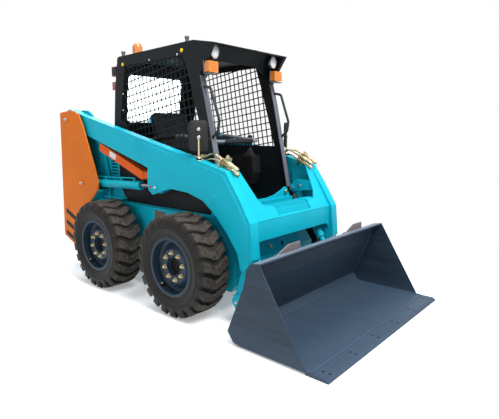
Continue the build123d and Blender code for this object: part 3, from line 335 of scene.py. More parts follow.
class Shape:
    """Closed forms gathered into one piece."""

    def __init__(self):
        self.mesh = bmesh.new()

    def rings(self, rings, frame=Matrix(), loop=False):
        """Joins rings of equally many points, then caps both ends or joins last to first."""
        rows = [[self.mesh.verts.new(frame @ Vector(p)) for p in ring] for ring in rings]
        pairs = list(zip(rows, rows[1:]))
        if loop:
            pairs.append((rows[-1], rows[0]))
        count = len(rows[0])
        for a, b in pairs:
            for i in range(count):
                j = (i + 1) % count
                self.mesh.faces.new((a[i], a[j], b[j], b[i]))
        if not loop:
            self.mesh.faces.new(rows[0][::-1])
            self.mesh.faces.new(rows[-1])

    def lathe(self, profile, frame, steps=24, hollow=False):
        """Turns (radius, height) pairs round the frame's z; `hollow` closes the profile itself."""
        rings = [[(r * cos(a), r * sin(a), h) for a in turns(steps)] for r, h in profile]
        self.rings(rings, frame, loop=hollow)

    def stack(self, levels, frame):
        """Joins (outline, height) pairs along the frame's z."""
        self.rings([[(x, y, h) for x, y in line] for line, h in levels], frame)

    def prism(self, outline, depth, frame, chamfer=0.0):
        """Pushes an outline along the frame's z, its end edges chamfered."""
        levels = [(outline, chamfer), (outline, depth - chamfer)]
        if chamfer:
            small = inset(outline, chamfer)
            levels = [(small, 0), *levels, (small, depth)]
        self.stack(levels, frame)

    def tube(self, points, radius, sides=10, swell=None):
        """A round bar along points; `swell(i)` scales the radius at point i."""
        points = [Vector(p) for p in points]
        rings = []
        side = None
        for i, p in enumerate(points):
            ahead = points[min(i + 1, len(points) - 1)] - points[max(i - 1, 0)]
            ahead.normalize()
            if side is None:
                side = ahead.orthogonal().normalized()
            side = (side - ahead * side.dot(ahead)).normalized()
            other = ahead.cross(side)
            r = radius * (swell(i) if swell else 1.0)
            rings.append([p + r * (cos(a) * side + sin(a) * other) for a in turns(sides)])
        self.rings(rings)

    def sleeve(self, points, radius):
        """A tube of four points with drawn-in ends."""
        self.tube(points, radius, 18, lambda i: (0.8, 1.0, 1.0, 0.8)[i])

    def boss(self, radius, high, top_radius, top, frame, steps=20, low=0.0):
        """A round stub from `low` up to `high`, then drawn in up to `top`."""
        self.lathe([(radius, low), (radius, high), (top_radius, top)], frame, steps)

    def bolt(self, frame, across=0.019, height=0.01):
        """Hex head with a chamfered crown, standing on a washer."""
        r = across / sqrt(3)
        w = across / 2 * 1.45
        self.lathe([(w, 0.0), (w, 0.002), (w - 0.0006, 0.0026)], frame, 20)
        top = height + 0.0026
        self.lathe([(r, 0.0026), (r, top - 0.0012), (r * 0.84, top)], frame, 6)

    def bead(self, points, radius=0.004, step=0.005):
        """A weld bead: a thin bar along points, rippled as it was laid."""
        self.tube(spaced(points, step), radius, 6, lambda i: 1.0 + 0.16 * sin(i * 2.1))


def shapes(count):
    return [Shape() for _ in range(count)]


def inset(outline, distance):
    """The outline moved in by a distance, corner by corner; it runs anticlockwise or clockwise."""
    corners = [Vector(p) for p in outline]
    following = corners[1:] + corners[:1]
    area = sum(a.x * b.y - b.x * a.y for a, b in zip(corners, following))
    turn = 1 if area > 0 else -1
    moved = []
    for i, (p, following_p) in enumerate(zip(corners, following)):
        before = (p - corners[i - 1]).normalized()
        after = (following_p - p).normalized()
        n0 = Vector((-before.y, before.x)) * turn
        n1 = Vector((-after.y, after.x)) * turn
        half = n0 + n1
        moved.append(tuple(p + half * (distance / max(0.3, half.dot(n0)))))
    return moved


def spaced(points, step):
    """Points along straight runs, at about equal steps."""
    points = [Vector(p) for p in points]
    line = [points[0]]
    for a, b in zip(points, points[1:]):
        count = max(1, round((b - a).length / step))
        line.extend(a.lerp(b, k / count) for k in range(1, count + 1))
    return line


def curved(points, steps=6):
    """Points of a smooth line through the given ones."""
    points = [Vector(p) for p in points]
    padded = [2 * points[0] - points[1], *points, 2 * points[-1] - points[-2]]
    line = [points[0]]
    for a, b, c, d in zip(padded, padded[1:], padded[2:], padded[3:]):
        bend, twist = 2 * a - 5 * b + 4 * c - d, 3 * b - a - 3 * c + d
        for k in range(1, steps + 1):
            t = k / steps
            line.append(0.5 * (2 * b + (c - a) * t + bend * t**2 + twist * t**3))
    return line


def rounded(width, height, radius, steps=5):
    """Outline of a rectangle with round corners, about its middle."""
    outline = []
    u, v = width / 2 - radius, height / 2 - radius
    for cx, cy, start in ((u, v, 0), (-u, v, 90), (-u, -v, 180), (u, -v, 270)):
        for k in range(steps + 1):
            a = radians(start + 90 * k / steps)
            outline.append((cx + radius * cos(a), cy + radius * sin(a)))
    return outline


def piece(name, shape, look, body="chassis", sharp=32):
    """Makes an object of the shape, with its material, riding on a body."""
    slot, material = FINISHES[look]
    mesh = bpy.data.meshes.new(name)
    bmesh.ops.recalc_face_normals(shape.mesh, faces=shape.mesh.faces)
    shape.mesh.to_mesh(mesh)
    shape.mesh.free()
    mesh.shade_smooth()
    mesh.set_sharp_from_angle(angle=radians(sharp))
    mesh.materials.append(material)
    obj = add(name, mesh)
    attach(obj, body)
    return obj


SIDES = {"right": -1, "left": 1}
BOTH = tuple(SIDES.values())


def side(sign, out):
    """A frame on one side: local x and y are the model's x and z, local z points outboard."""
    return Matrix(((1, 0, 0, 0), (0, 0, sign, sign * out), (0, 1, 0, 0), (0, 0, 0, 1)))


def outboard(x, out, z, sign):
    """A frame at a point of one side, its z pointing outboard."""
    return at((x, sign * out, z), (0, sign, 0))


# --- wheels
AXLE_X = {"front": 0.283, "rear": -0.727}
AXLE_Z = 0.3865
WHEEL_Y = 0.6925
DISC_Y = 0.769
TYRE_RADIUS = 0.3865
LUGS = 22
NUTS = 8
NUT_CIRCLE = 0.1016
FIRST_NUT = 11  # degrees
VALVE = radians(-125)
# radius, distance out over half the carcass: bead, lip, wall with its rings, shoulder, crown
CARCASS = (
    (0.2098, 0.085), (0.2098, 0.104), (0.2265, 0.1098), (0.2282, 0.1165), (0.234, 0.1208),
    (0.242, 0.1222), (0.244, 0.1208), (0.247, 0.1208), (0.249, 0.1228), (0.268, 0.1268),
    (0.286, 0.1302), (0.2905, 0.132), (0.2935, 0.132), (0.295, 0.13), (0.3, 0.13),
    (0.3015, 0.132), (0.3045, 0.132), (0.306, 0.1298), (0.316, 0.129), (0.325, 0.1262),
    (0.337, 0.12), (0.348, 0.11), (0.357, 0.098), (0.362, 0.082), (0.3648, 0.05),
)
CARCASS_INSIDE = ((0.235, 0.09), (0.3, 0.104), (0.345, 0.07))
# distance out, lead round the tread, half width, radius of the top, radius of the foot
LUG = (
    (0.0, 0.03, 0.033, 0.3865, 0.352),
    (0.02, 0.0285, 0.0345, 0.3865, 0.352),
    (0.038, 0.0165, 0.0335, 0.3865, 0.352),
    (0.058, 0.004, 0.0345, 0.3865, 0.35),
    (0.086, -0.009, 0.0355, 0.3862, 0.345),
    (0.106, -0.0185, 0.036, 0.3848, 0.336),
    (0.115, -0.0222, 0.0352, 0.3795, 0.322),
    (0.1225, -0.0252, 0.0335, 0.358, 0.312),
    (0.129, -0.0276, 0.0305, 0.334, 0.305),
)
# tread attribute: 0 at this radius, 1 further out by the second number
TREAD_START, TREAD_DEPTH = 0.35, 0.034


def both_ways(half):
    """A profile over both halves of the tyre from the (radius, out) pairs of one."""
    return [(r, -out) for r, out in half] + [(r, out) for r, out in reversed(half)]


def carcass_and_lugs(centre):
    shape = Shape()
    profile = both_ways(CARCASS) + both_ways(CARCASS_INSIDE)[::-1]
    shape.lathe(profile, at(centre, LEFT), 88, hollow=True)
    stations = [(-out, *rest) for out, *rest in reversed(LUG[1:])] + list(LUG)
    for turn in turns(LUGS):
        rings = []
        for out, lead, half, top, foot in stations:
            ring = []
            for offset, radius in (
                (-half - 0.005, foot),
                (-half - 0.0008, top - 0.006),
                (-half + 0.003, top),
                (half - 0.003, top),
                (half + 0.0008, top - 0.006),
                (half + 0.005, foot),
            ):
                a = turn + (lead + offset) / TYRE_RADIUS
                ring.append(centre + Vector((radius * sin(a), out, radius * cos(a))))
            rings.append(ring)
        shape.rings(rings)
    return shape


def mark_tread(obj, centre):
    """Stores how near each point is to the tread's face, for the dust."""
    share = obj.data.attributes.new("tread", "FLOAT", "POINT")
    for i, vertex in enumerate(obj.data.vertices):
        p = vertex.co - centre
        depth = (hypot(p.x, p.z) - TREAD_START) / TREAD_DEPTH
        share.data[i].value = min(1.0, max(0.0, depth))


def wheel_trim(axle_x, sign, place):
    """Nuts and valve, the hub's black cap and painted shade, and rings of one wheel; `place` ends
    their names.
    """
    nuts, dark, trim = shapes(3)
    body = f"wheel_{place}"
    for k in range(NUTS):
        a = radians(FIRST_NUT + 360 / NUTS * k)
        x, z = axle_x + NUT_CIRCLE * cos(a), AXLE_Z + NUT_CIRCLE * sin(a)
        face = outboard(x, DISC_Y, z, sign)
        nuts.bolt(face, 0.0225, 0.014)
        nuts.boss(0.007, 0.0235, 0.0058, 0.025, face, 12, low=0.01)

    def spoke(radius, out):
        return (axle_x + radius * cos(VALVE), sign * out, AXLE_Z + radius * sin(VALVE))

    # valve stem, leaning out of the rim's barrel
    stem = ((0.201, 0.786), (0.188, 0.789), (0.178, 0.797), (0.171, 0.808))
    nuts.tube([spoke(r, out) for r, out in stem], 0.0042)
    piece(f"nuts_{place}", nuts, "zinc", body)

    # black disc at the valve's foot: painted shade of the hole it goes through
    seat = at(spoke(0.2024, 0.787), (-cos(VALVE), 0, -sin(VALVE)))
    dark.boss(0.0185, 0.002, 0.012, 0.0035, seat, low=-0.001)
    # black cap in the hub's bore, dark enough to stand for the bore's shade as well
    cap = [(0.0585, 0.0), (0.061, 0.022), (0.052, 0.024), (0.048, 0.014), (0.012, 0.012)]
    dark.lathe(cap, outboard(axle_x, 0.724, AXLE_Z, sign), 32)
    piece(f"hub_cap_and_painted_shade_{place}", dark, "shadow", body)

    hub = outboard(axle_x, 0, AXLE_Z, sign)
    ring = [(0.1795 + 0.0045 * cos(t), 0.7245 + 0.0045 * sin(t)) for t in turns(8)]
    trim.lathe(ring, hub, 72, hollow=True)
    # raised ring round the pilot bore
    ring = [(0.0725, 0.769), (0.0725, 0.7735), (0.0775, 0.7735), (0.08, 0.769)]
    trim.lathe(ring, hub, 48, hollow=True)
    piece(f"rim_trim_{place}", trim, "rim", body)


for end, axle_x in AXLE_X.items():
    for name, sign in SIDES.items():
        place = f"{end}_{name}"
        centre = Vector((axle_x, sign * WHEEL_Y, AXLE_Z))
        tyre = piece(f"tread_{place}", carcass_and_lugs(centre), "tyre", f"wheel_{place}", 38)
        mark_tread(tyre, centre)
        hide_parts(f"tyre_{place}")
        wheel_trim(axle_x, sign, place)

# --- pins, x and z
ARM_PIVOT = (-1.466, 1.487)
LIFT_BASE = (-1.248, 0.881)
LIFT_EYE = (-0.195, 0.924)
TILT_BASE = (0.518, 0.888)
TILT_EYE = (0.858, 0.39)
COUPLER_PIVOT = (0.743, 0.17)

# --- towers
TOWER_Y = 0.61
# x, z of the upper edge of each diagonal stripe, rear end first
STRIPES = (
    ((-1.588, 0.604), (-1.337, 0.506)),
    ((-1.598, 0.486), (-1.359, 0.393)),
    ((-1.608, 0.376), (-1.413, 0.3)),
)
STRIPE_HEIGHT = 0.047
# upright channel inside the tower, before the louvre; ledge over the wheel's rear half
CHANNEL = ((-1.167, 0.98), (-1.097, 0.98), (-1.097, 1.29), (-1.167, 1.29))
LEDGE = ((-1.19, 0.752), (-0.745, 0.752), (-0.73, 0.768), (-1.18, 0.768))
SIDE_PAD = ((-0.277, 0.64), (-0.134, 0.64), (-0.138, 0.708), (-0.274, 0.713))
# x, out, z and height of the bolts inside; the channel's are low, to clear the lift cylinder
INNER_BOLTS = (
    (-0.868, 0.444, 1.12, 0.006),
    (-0.868, 0.444, 1.02, 0.006),
    (-1.15, 0.4845, 1.0, 0.003),
    (-1.15, 0.4845, 1.27, 0.003),
)

stripes, bolts, channels, pads = shapes(4)
for sign in BOTH:
    for (x0, z0), (x1, z1) in STRIPES:
        foot = [(x0 - 0.006, z0 - STRIPE_HEIGHT), (x1 - 0.012, z1 - STRIPE_HEIGHT + 0.004)]
        stripes.prism([(x0, z0), *foot, (x1, z1)], 0.0009, side(sign, TOWER_Y - 0.0002))
    for x, z in (ARM_PIVOT, LIFT_BASE):
        bolts.bolt(outboard(x, TOWER_Y + 0.008, z, sign), 0.024, 0.014)
    channels.prism(CHANNEL, 0.005, side(sign, 0.48), 0.002)
    channels.prism(LEDGE, 0.055, side(sign, 0.444), 0.003)
    pads.prism(SIDE_PAD, 0.003, side(sign, 0.5), 0.001)
    for x, out, z, height in INNER_BOLTS:
        bolts.bolt(outboard(x, out, z, sign), 0.013, height)
piece("tower_stripes", stripes, "stripe")
piece("tower_bolts", bolts, "bright")
piece("tower_channels", channels, "body")
piece("side_pads", pads, "pad")

# --- cylinders' pipes
LIFT_Y = 0.53
TILT_Y = 0.435
# distance along the cylinder, distance off its middle
LIFT_PIPE = (
    (0.085, 0.034), (0.085, 0.056), (0.13, 0.06), (0.7, 0.06), (0.745, 0.056), (0.745, 0.034)
)
TILT_PIPE = (
    (0.135, 0.036), (0.135, 0.044), (0.17, 0.046), (0.4, 0.046), (0.435, 0.044), (0.435, 0.036)
)


def along(base, eye):
    """Unit vectors along a cylinder and square to it in the x-z plane."""
    run = Vector((eye[0] - base[0], 0, eye[1] - base[1])).normalized()
    return run, Vector((-run.z, 0, run.x))


def pipe(shape, points, base, run, off, radius):
    """A rigid pipe beside a cylinder; `off` points from the cylinder to it."""
    shape.tube(curved([base + run * t + off * h for t, h in points], 5), radius)
    return points[0][0], points[-1][0]


pipes, glands = shapes(2)
run, up = along(LIFT_BASE, LIFT_EYE)
for sign in BOTH:
    base = Vector((LIFT_BASE[0], sign * LIFT_Y, LIFT_BASE[1]))
    for t in pipe(pipes, LIFT_PIPE, base, run, up, 0.0065):
        pipes.boss(0.014, 0.046, 0.01, 0.05, at(base + run * t, up), 6, low=0.03)
    for t in (0.3, 0.55):
        clip = at(base + run * t + up * 0.035, up, run)
        pipes.prism(rounded(0.02, 0.012, 0.003, 2), 0.032, clip)
    ring = [(0.0395, 0.8), (0.0415, 0.803), (0.0415, 0.812), (0.0395, 0.815)]
    glands.lathe(ring, at(base, run), 36, hollow=True)
piece("lift_pipes", pipes, "body", "lift_barrels")
piece("lift_glands", glands, "body", "lift_barrels")

pipes, glands = shapes(2)
run, up = along(TILT_BASE, TILT_EYE)
for sign in BOTH:
    base = Vector((TILT_BASE[0], sign * TILT_Y, TILT_BASE[1]))
    inward = Vector((0, -sign, 0))
    for t in pipe(pipes, TILT_PIPE, base, run, inward, 0.0055):
        boss = at(base + run * t + inward * 0.028, inward, run)
        pipes.prism(rounded(0.034, 0.03, 0.004, 3), 0.014, boss, 0.002)
    ring = [(0.033, 0.462), (0.0348, 0.464), (0.0348, 0.474), (0.033, 0.476)]
    glands.lathe(ring, at(base, run), 32, hollow=True)
piece("tilt_pipes", pipes, "body", "tilt_barrels")
piece("tilt_glands", glands, "body", "tilt_barrels")

# --- lift arm
ARM_FACE_Y = 0.576  # outer face of the welded side plate
FLANGE_Y = 0.582  # outer face of the lift pin's flange
# x, z along the welded plate's edge, from its rear bottom over the top and down the front
PLATE_EDGE = (
    (-0.317, 1.1), (-0.317, 1.279), (0.545, 1.082), (0.606, 1.064),
    (0.72, 0.906), (0.827, 0.738), (0.851, 0.498), (0.838, 0.445),
)
PIN_RIM = ((0.024, 0.0), (0.024, 0.0022), (0.0222, 0.0032), (0.018, 0.0032), (0.0172, 0.0012))

beads, caps, red, bolts = shapes(4)
for sign in BOTH:
    beads.bead([(x, sign * 0.5715, z) for x, z in PLATE_EDGE], 0.004, 0.006)
    # flange of the lift eye's pin, with its plug and bolt
    x, z = LIFT_EYE
    outline = [(x + 0.008 + u, z + v) for u, v in rounded(0.118, 0.056, 0.026, 6)]
    caps.prism(outline, 0.006, side(sign, ARM_FACE_Y), 0.0015)
    plug = outboard(x - 0.022, FLANGE_Y, z, sign)
    red.boss(0.011, 0.004, 0.0085, 0.006, plug)
    bolts.bolt(outboard(x + 0.04, FLANGE_Y, z - 0.004, sign), 0.017, 0.009)
    # end of the tilt cylinder's base pin
    x, z = TILT_BASE
    caps.lathe(PIN_RIM, outboard(x, ARM_FACE_Y, z, sign), 32)
    # heads of the coupler's pins
    x, z = COUPLER_PIVOT
    caps.boss(0.03, 0.006, 0.0275, 0.008, outboard(x, 0.579, z, sign), 32)
    bolts.bolt(outboard(x, 0.587, z, sign), 0.016, 0.008)
    # inner end of the tilt base pin, seen between the arms
    x, z = TILT_BASE
    face = at((x, sign * 0.382, z), (0, -sign, 0))
    caps.boss(0.023, 0.004, 0.021, 0.006, face, 28)
    red.boss(0.0095, 0.009, 0.0075, 0.011, face, 18, low=0.006)
    bolts.bolt(at((0.6, sign * 0.388, 0.913), (0, -sign, 0)), 0.017, 0.009)
    # grease nipples on the pivots
    x, z = ARM_PIVOT
    nipple = [(0.006, 0.0), (0.006, 0.006), (0.0035, 0.01), (0.0042, 0.015)]
    bolts.lathe(nipple, at((x, sign * 0.53, z + 0.094)), 10)
piece("arm_beads", beads, "body", "boom", sharp=60)
piece("pin_caps", caps, "body", "boom")
piece("pin_plugs", red, "red", "boom")
piece("arm_bolts", bolts, "bright", "boom")

# blank label on the lock strut, whose ends are `start` and `end` (x, z)
label = Shape()
start, end = Vector((-0.975, 1.233)), Vector((-0.337, 1.003))
run = (end - start).normalized()
up = Vector((-run.y, run.x))
middle = start + run * 0.215
for sign in BOTH:
    outline = [tuple(middle + run * u + up * v) for u, v in rounded(0.1, 0.048, 0.004, 3)]
    label.prism(outline, 0.0008, side(sign, 0.564))
piece("strut_label", label, "label", "boom")

# serrated tread on the step: staggered teeth on its sloped and its level face
TEETH = 26
TOOTH_ROWS = 4
TOOTH_PITCH = 0.0176
ROW_PITCH = 0.016
# first row's middle, direction of the next rows, facing
TREADS = (
    ((0.8155, 0, 0.764), (-0.583, 0, 0.812), (0.812, 0, 0.583)),
    ((0.766, 0, 0.82), REARWARD, UP),
)
teeth = Shape()
for origin, run, facing in TREADS:
    for row in range(TOOTH_ROWS):
        for k in range(TEETH):
            y = (k - (TEETH - 1) / 2 + 0.25 * (-1) ** row) * TOOTH_PITCH
            place = Vector(origin) + Vector(run) * (ROW_PITCH * row) + Vector((0, y, 0))
            tooth = [(0.0068, -0.001), (0.0058, 0.003), (0.0042, 0.0034), (0.0034, 0.001)]
            teeth.lathe(tooth, at(place, Vector(facing)), 8)
piece("step_teeth", teeth, "body", "boom")

# --- frame, between the arms
LEG_EDGE = ((0.655, 0.26), (0.655, 0.415), (0.47, 0.662))
bolts, beads, slot_shades = shapes(3)
bolts.bolt(at((0.645, -0.077, 0.468), (0.98, 0, 0.2)), 0.02, 0.011)
bolts.bolt(at((0.576, 0.222, 0.876), FORWARD), 0.024, 0.006)
for sign in BOTH:
    for x in (-0.35, 0.02, 0.38):
        bolts.bolt(outboard(x, 0.5, 0.245, sign), 0.016, 0.008)
    bolts.bolt(at((0.61, sign * 0.43, 0.225), FORWARD), 0.018, 0.01)
    beads.bead([(x, sign * 0.5005, z) for x, z in LEG_EDGE], 0.0035)
    # dark rubber sheet in the slot ahead of the inner tower, standing for the shade seen in that
    # slot
    slot_shade = at((0.47, sign * 0.428, 0.815), LEFT)
    slot_shades.prism(rounded(0.066, 0.11, 0.008, 3), 0.003, slot_shade, 0.0006)
beads.bead([(0.5805, y, 0.7865) for y in (-0.298, 0.298)], 0.0035)
piece("tower_slot_painted_shade", slot_shades, "boot")
piece("frame_bolts", bolts, "zinc")
piece("frame_beads", beads, "body", sharp=60)

# --- auxiliary couplers
COUPLER_SLOPE = radians(-26)
COUPLERS = (
    (0.505, -0.505, 1.19),
    (0.48, -0.47, 1.15),
    (0.505, 0.505, 1.19),
    (0.48, 0.47, 1.15),
    (0.5, 0.44, 1.19),
)
# stub, hex, sleeve and grooved cap: sides, then (radius, distance along)
COUPLER_PARTS = (
    (14, ((0.0085, 0.0), (0.0085, 0.09))),
    (6, ((0.016, 0.086), (0.0172, 0.088), (0.0172, 0.106), (0.016, 0.108))),
    (28, ((0.015, 0.104), (0.0188, 0.11), (0.0188, 0.14), (0.0172, 0.144), (0.015, 0.146))),
    (28, ((0.0135, 0.142), (0.0135, 0.149), (0.0162, 0.151), (0.0162, 0.16), (0.0148, 0.162),
          (0.0148, 0.166), (0.0162, 0.168), (0.0162, 0.186), (0.014, 0.19), (0.014, 0.201),
          (0.0118, 0.204))),
)
couplers = Shape()
slope = Vector((cos(COUPLER_SLOPE), 0, sin(COUPLER_SLOPE)))
for place in COUPLERS:
    for steps, profile in COUPLER_PARTS:
        couplers.lathe(profile, at(place, slope), steps)
    x, y, z = place
    sign = 1 if y > 0 else -1
    inner = sign * (abs(y) - 0.475) * 0.25
    line = [
        place,
        (x - 0.035, y, z + 0.014),
        (x - 0.09, sign * 0.48 + inner, z + 0.018),
        (x - 0.16, sign * 0.473 + inner, z - 0.002),
        (0.25, sign * 0.471 + inner, z - 0.012),
        (0.12, sign * 0.471 + inner, z + 0.002),
    ]
    couplers.tube(curved(line, 5), 0.0072, 12)
for sign in BOTH:
    plate = at((0.535, sign * 0.49, 1.13), slope)
    couplers.prism(rounded(0.124, 0.118, 0.014, 4), 0.008, plate, 0.001)
    couplers.bolt(at((0.575, sign * 0.49, 1.185), (-slope.z, 0, slope.x)), 0.022, 0.014)
    for x in (0.135, 0.3):
        clamp = at((x, sign * 0.47, 1.17), FORWARD)
        couplers.prism(rounded(0.05, 0.062, 0.006, 3), 0.018, clamp, 0.002)
made = piece("hydraulic_couplers", couplers, "zinc", "boom")
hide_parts("auxiliary_couplers")

# --- mirrors
MIRROR_X, MIRROR_Y, MIRROR_Z = 0.335, 0.545, 1.34
MIRROR_FOOT_Z = 1.15
TOE = radians(36)
# width, height, corner radius, height over the mirror's plane
MIRROR_SHELL = (
    (0.122, 0.206, 0.022, -0.0262),
    (0.14, 0.225, 0.03, -0.012),
    (0.14, 0.225, 0.03, -0.002),
    (0.116, 0.2, 0.024, 0.0035),
)
rods, shells, glasses, screws = shapes(4)
for sign in BOTH:
    foot = at((MIRROR_X, sign * MIRROR_Y, MIRROR_FOOT_Z))
    rods.lathe([(0.0076, 0.0), (0.0076, 0.186)], foot, 14)
    rods.boss(0.0245, 0.01, 0.022, 0.012, foot, 6)
    rods.boss(0.016, 0.026, 0.013, 0.03, foot, 6, low=0.012)
    facing = Vector((cos(TOE), sign * sin(TOE), 0))
    middle = Vector((MIRROR_X, sign * MIRROR_Y, MIRROR_Z))
    levels = [(rounded(w, h, r, 6), rise) for w, h, r, rise in MIRROR_SHELL]
    shells.stack(levels, at(middle, facing))
    pane = at(middle - facing * 0.0277, -facing)
    glasses.prism(rounded(0.112, 0.196, 0.02, 6), 0.0015, pane)
    for h in (0.045, -0.012):
        head = at(middle + facing * 0.0034 + Vector((0, 0, h)), facing)
        screws.boss(0.0125, 0.005, 0.0085, 0.008, head, 18)
piece("mirror_rods", rods, "zinc", "boom")
piece("mirror_shells", shells, "plastic", "boom")
piece("mirror_faces", glasses, "mirror", "boom")
piece("mirror_screws", screws, "bright", "boom")

# --- cab
CAB_Y = 0.445
# x, z down the front edge of the cab's side
PILLAR = ((0.252, 1.785), (0.302, 1.6), (0.367, 1.3), (0.407, 1.124), (0.456, 0.89))
# section of the strip on it, in a grey that paints the sky's reflection: distance out, height over
# the pillar
STRIP = (
    (0.392, 0.0), (0.394, 0.005), (0.441, 0.005), (0.4445, 0.002), (0.4445, -0.003), (0.392, -0.003)
)
# x, z
PLUGS = ((-0.73, 1.95), (0.055, 1.984))
HANDLE_ENDS = ((0.262, 1.704), (0.352, 1.312))
SCREEN_BOLTS = (
    (-0.742, 1.7), (-0.752, 1.56), (-0.7, 1.36), (-0.4, 1.205),
    (0.05, 1.205), (-0.35, 1.952), (0.0, 1.958),
)


def roof_z(x):
    """Height of the roof, which rises forward."""
    return 2.022 + (x + 0.782) / 0.965 * 0.023


# raised strips down the pillars' front edges, grey as a painted reflection
strips, plugs, roof_bolts, screen_bolts, feet = shapes(5)
for sign in BOTH:
    rings = []
    for i, (x, z) in enumerate(PILLAR):
        before = Vector(PILLAR[max(i - 1, 0)])
        after = Vector(PILLAR[min(i + 1, len(PILLAR) - 1)])
        run = (after - before).normalized()
        rings.append([(x - run.y * h, sign * out, z + run.x * h) for out, h in STRIP])
    strips.rings(rings)
    for x, z in PLUGS:
        plug = [(0.015, -0.002), (0.015, 0.003), (0.011, 0.006), (0.004, 0.0068)]
        plugs.lathe(plug, outboard(x, CAB_Y, z, sign), 22)
    for x in (-0.77, 0.075):
        base = at((x, sign * 0.405, roof_z(x) - 0.001))
        head = [(0.015, 0.006), (0.015, 0.03), (0.019, 0.032), (0.019, 0.046), (0.015, 0.05)]
        roof_bolts.boss(0.024, 0.006, 0.02, 0.008, base, 24)
        roof_bolts.lathe(head, base, 6)
    for x, z in SCREEN_BOLTS:
        head = [(0.008, -0.001), (0.008, 0.002), (0.0055, 0.0048)]
        screen_bolts.lathe(head, outboard(x, CAB_Y + 0.0002, z, sign), 12)
    for x, z in HANDLE_ENDS:
        foot = at((x - 0.006, sign * 0.43, z), (1, 0, 0.2))
        feet.boss(0.019, 0.005, 0.0135, 0.009, foot)
piece("pillar_strips_painted_reflection", strips, "reflection_grey")
piece("cab_plugs", plugs, "yellow")
piece("lifting_bolts", roof_bolts, "grey")
piece("screen_bolts", screen_bolts, "bright")
piece("handle_feet", feet, "handle")

# rubber seal round the rear window, on the slanting rear wall (x, z)
REAR_WALL = ((-0.904, 1.403), (-0.866, 1.741), (-0.824, 1.946))
WINDOW_Z = 1.67


def rear_x(z):
    (x0, z0), (x1, z1) = REAR_WALL[:2] if z < REAR_WALL[1][1] else REAR_WALL[1:]
    return x0 + (x1 - x0) * (z - z0) / (z1 - z0)


seal = Shape()
outline = rounded(0.664, 0.444, 0.05, 6)
loop = [(rear_x(WINDOW_Z + v) - 0.001, u, WINDOW_Z + v) for u, v in [*outline, outline[0]]]
seal.tube(loop, 0.0085, 8)
piece("window_seal", seal, "boot")

# --- lamps
HEADLAMP = (0.043, 0.052)  # half width, half height
# scale of the oval, height over its face
LENS = ((0.9, -0.001), (0.9, 0.002), (0.8, 0.006), (0.55, 0.0095), (0.2, 0.011))
BEZEL = ((1.015, -0.022), (1.015, 0.001), (0.97, 0.004), (0.905, 0.004), (0.905, 0.0))
TURN_LAMP_Y, TURN_LAMP_Z = 0.394, 1.842
TURN_LAMP_FACE_X, TURN_LAMP_BACK_X = 0.3478, 0.2955
BEACON = (-0.72, -0.29, 2.0185)
# radius, height over the roof: base, shoulder, flank, crown
BEACON_DOME = (
    (0.0525, 0.012), (0.053, 0.038), (0.048, 0.041), (0.044, 0.042), (0.0435, 0.1),
    (0.0405, 0.113), (0.033, 0.124), (0.021, 0.1298), (0.007, 0.1312),
)
BEACON_FLUTES = 16


def oval(shape, rows, frame, steps=32):
    """Rings of the headlamp's oval, each scaled and at a height along the frame's z."""
    half_width, half_height = HEADLAMP
    rings = [
        [(half_width * s * cos(a), half_height * s * sin(a), h) for a in turns(steps)]
        for s, h in rows
    ]
    shape.rings(rings, frame)


lenses, bezels, ribs, brackets, rear_lamps = shapes(5)
for sign in BOTH:
    y = sign * TURN_LAMP_Y
    face = at((0.322, sign * 0.354, 1.957), FORWARD)
    oval(lenses, LENS, face)
    oval(bezels, BEZEL, face)
    # ribs on the turn lamp's lens, and the bracket under and behind it
    for h in (-0.026, -0.013, 0.0, 0.013, 0.026):
        rib = at((TURN_LAMP_FACE_X, y, TURN_LAMP_Z + h), FORWARD)
        ribs.prism(rounded(0.088, 0.0045, 0.0018, 2), 0.0022, rib)
    rib = at((TURN_LAMP_FACE_X, y, TURN_LAMP_Z), FORWARD)
    ribs.prism(rounded(0.005, 0.072, 0.0018, 2), 0.0028, rib)
    under = at((0.322, y, 1.796), (0, 0, -1), LEFT)
    behind = at((TURN_LAMP_BACK_X, y, TURN_LAMP_Z), FORWARD)
    brackets.prism(rounded(0.06, 0.112, 0.008, 3), 0.006, under, 0.001)
    brackets.prism(rounded(0.112, 0.092, 0.01, 3), 0.005, behind, 0.001)
    brackets.tube([(0.285, sign * 0.4, 1.793), (0.27, sign * 0.405, 1.77)], 0.011, 12)
    # upper rear lamp, black, over the red one
    rear = at((-0.8465, sign * 0.4, 1.9025), REARWARD)
    rear_lamps.prism(rounded(0.092, 0.087, 0.012, 4), 0.06, rear, 0.004)
piece("headlamp_lenses", lenses, "lamp")
piece("headlamp_bezels", bezels, "bright")
piece("turn_lamp_ribs", ribs, "amber")
piece("turn_lamp_brackets", brackets, "grey")
piece("rear_work_lamps", rear_lamps, "plastic")

base, dome = shapes(2)
foot = at(BEACON)
base.boss(0.056, 0.01, 0.053, 0.013, foot, 36)
piece("beacon_foot", base, "boot")
dome.lathe(BEACON_DOME, foot, 48)
for a in turns(BEACON_FLUTES):
    out = Vector((cos(a), sin(a), 0))
    spot = (BEACON[0] + 0.0433 * out.x, BEACON[1] + 0.0433 * out.y, 2.062)
    dome.prism(rounded(0.003, 0.003, 0.001, 2), 0.052, at(spot, UP, out))
piece("beacon_dome", dome, "amber")

# --- controls
LEVER_X, LEVER_Y = 0.066, 0.345
# height and girth up the lever's grip
GRIP = (
    (1.215, 0.6), (1.236, 0.86), (1.262, 1.0), (1.29, 0.92),
    (1.315, 1.06), (1.332, 0.98), (1.338, 0.6),
)
SLEEVE_RADIUS = 0.021
# x, z along a side arm of the lap bar; y along its crossbar
ARM_SLEEVE = ((-0.52, 1.307), (-0.505, 1.3083), (-0.27, 1.3265), (-0.255, 1.3277))
CROSS_SLEEVE = (-0.175, -0.16, 0.16, 0.175)

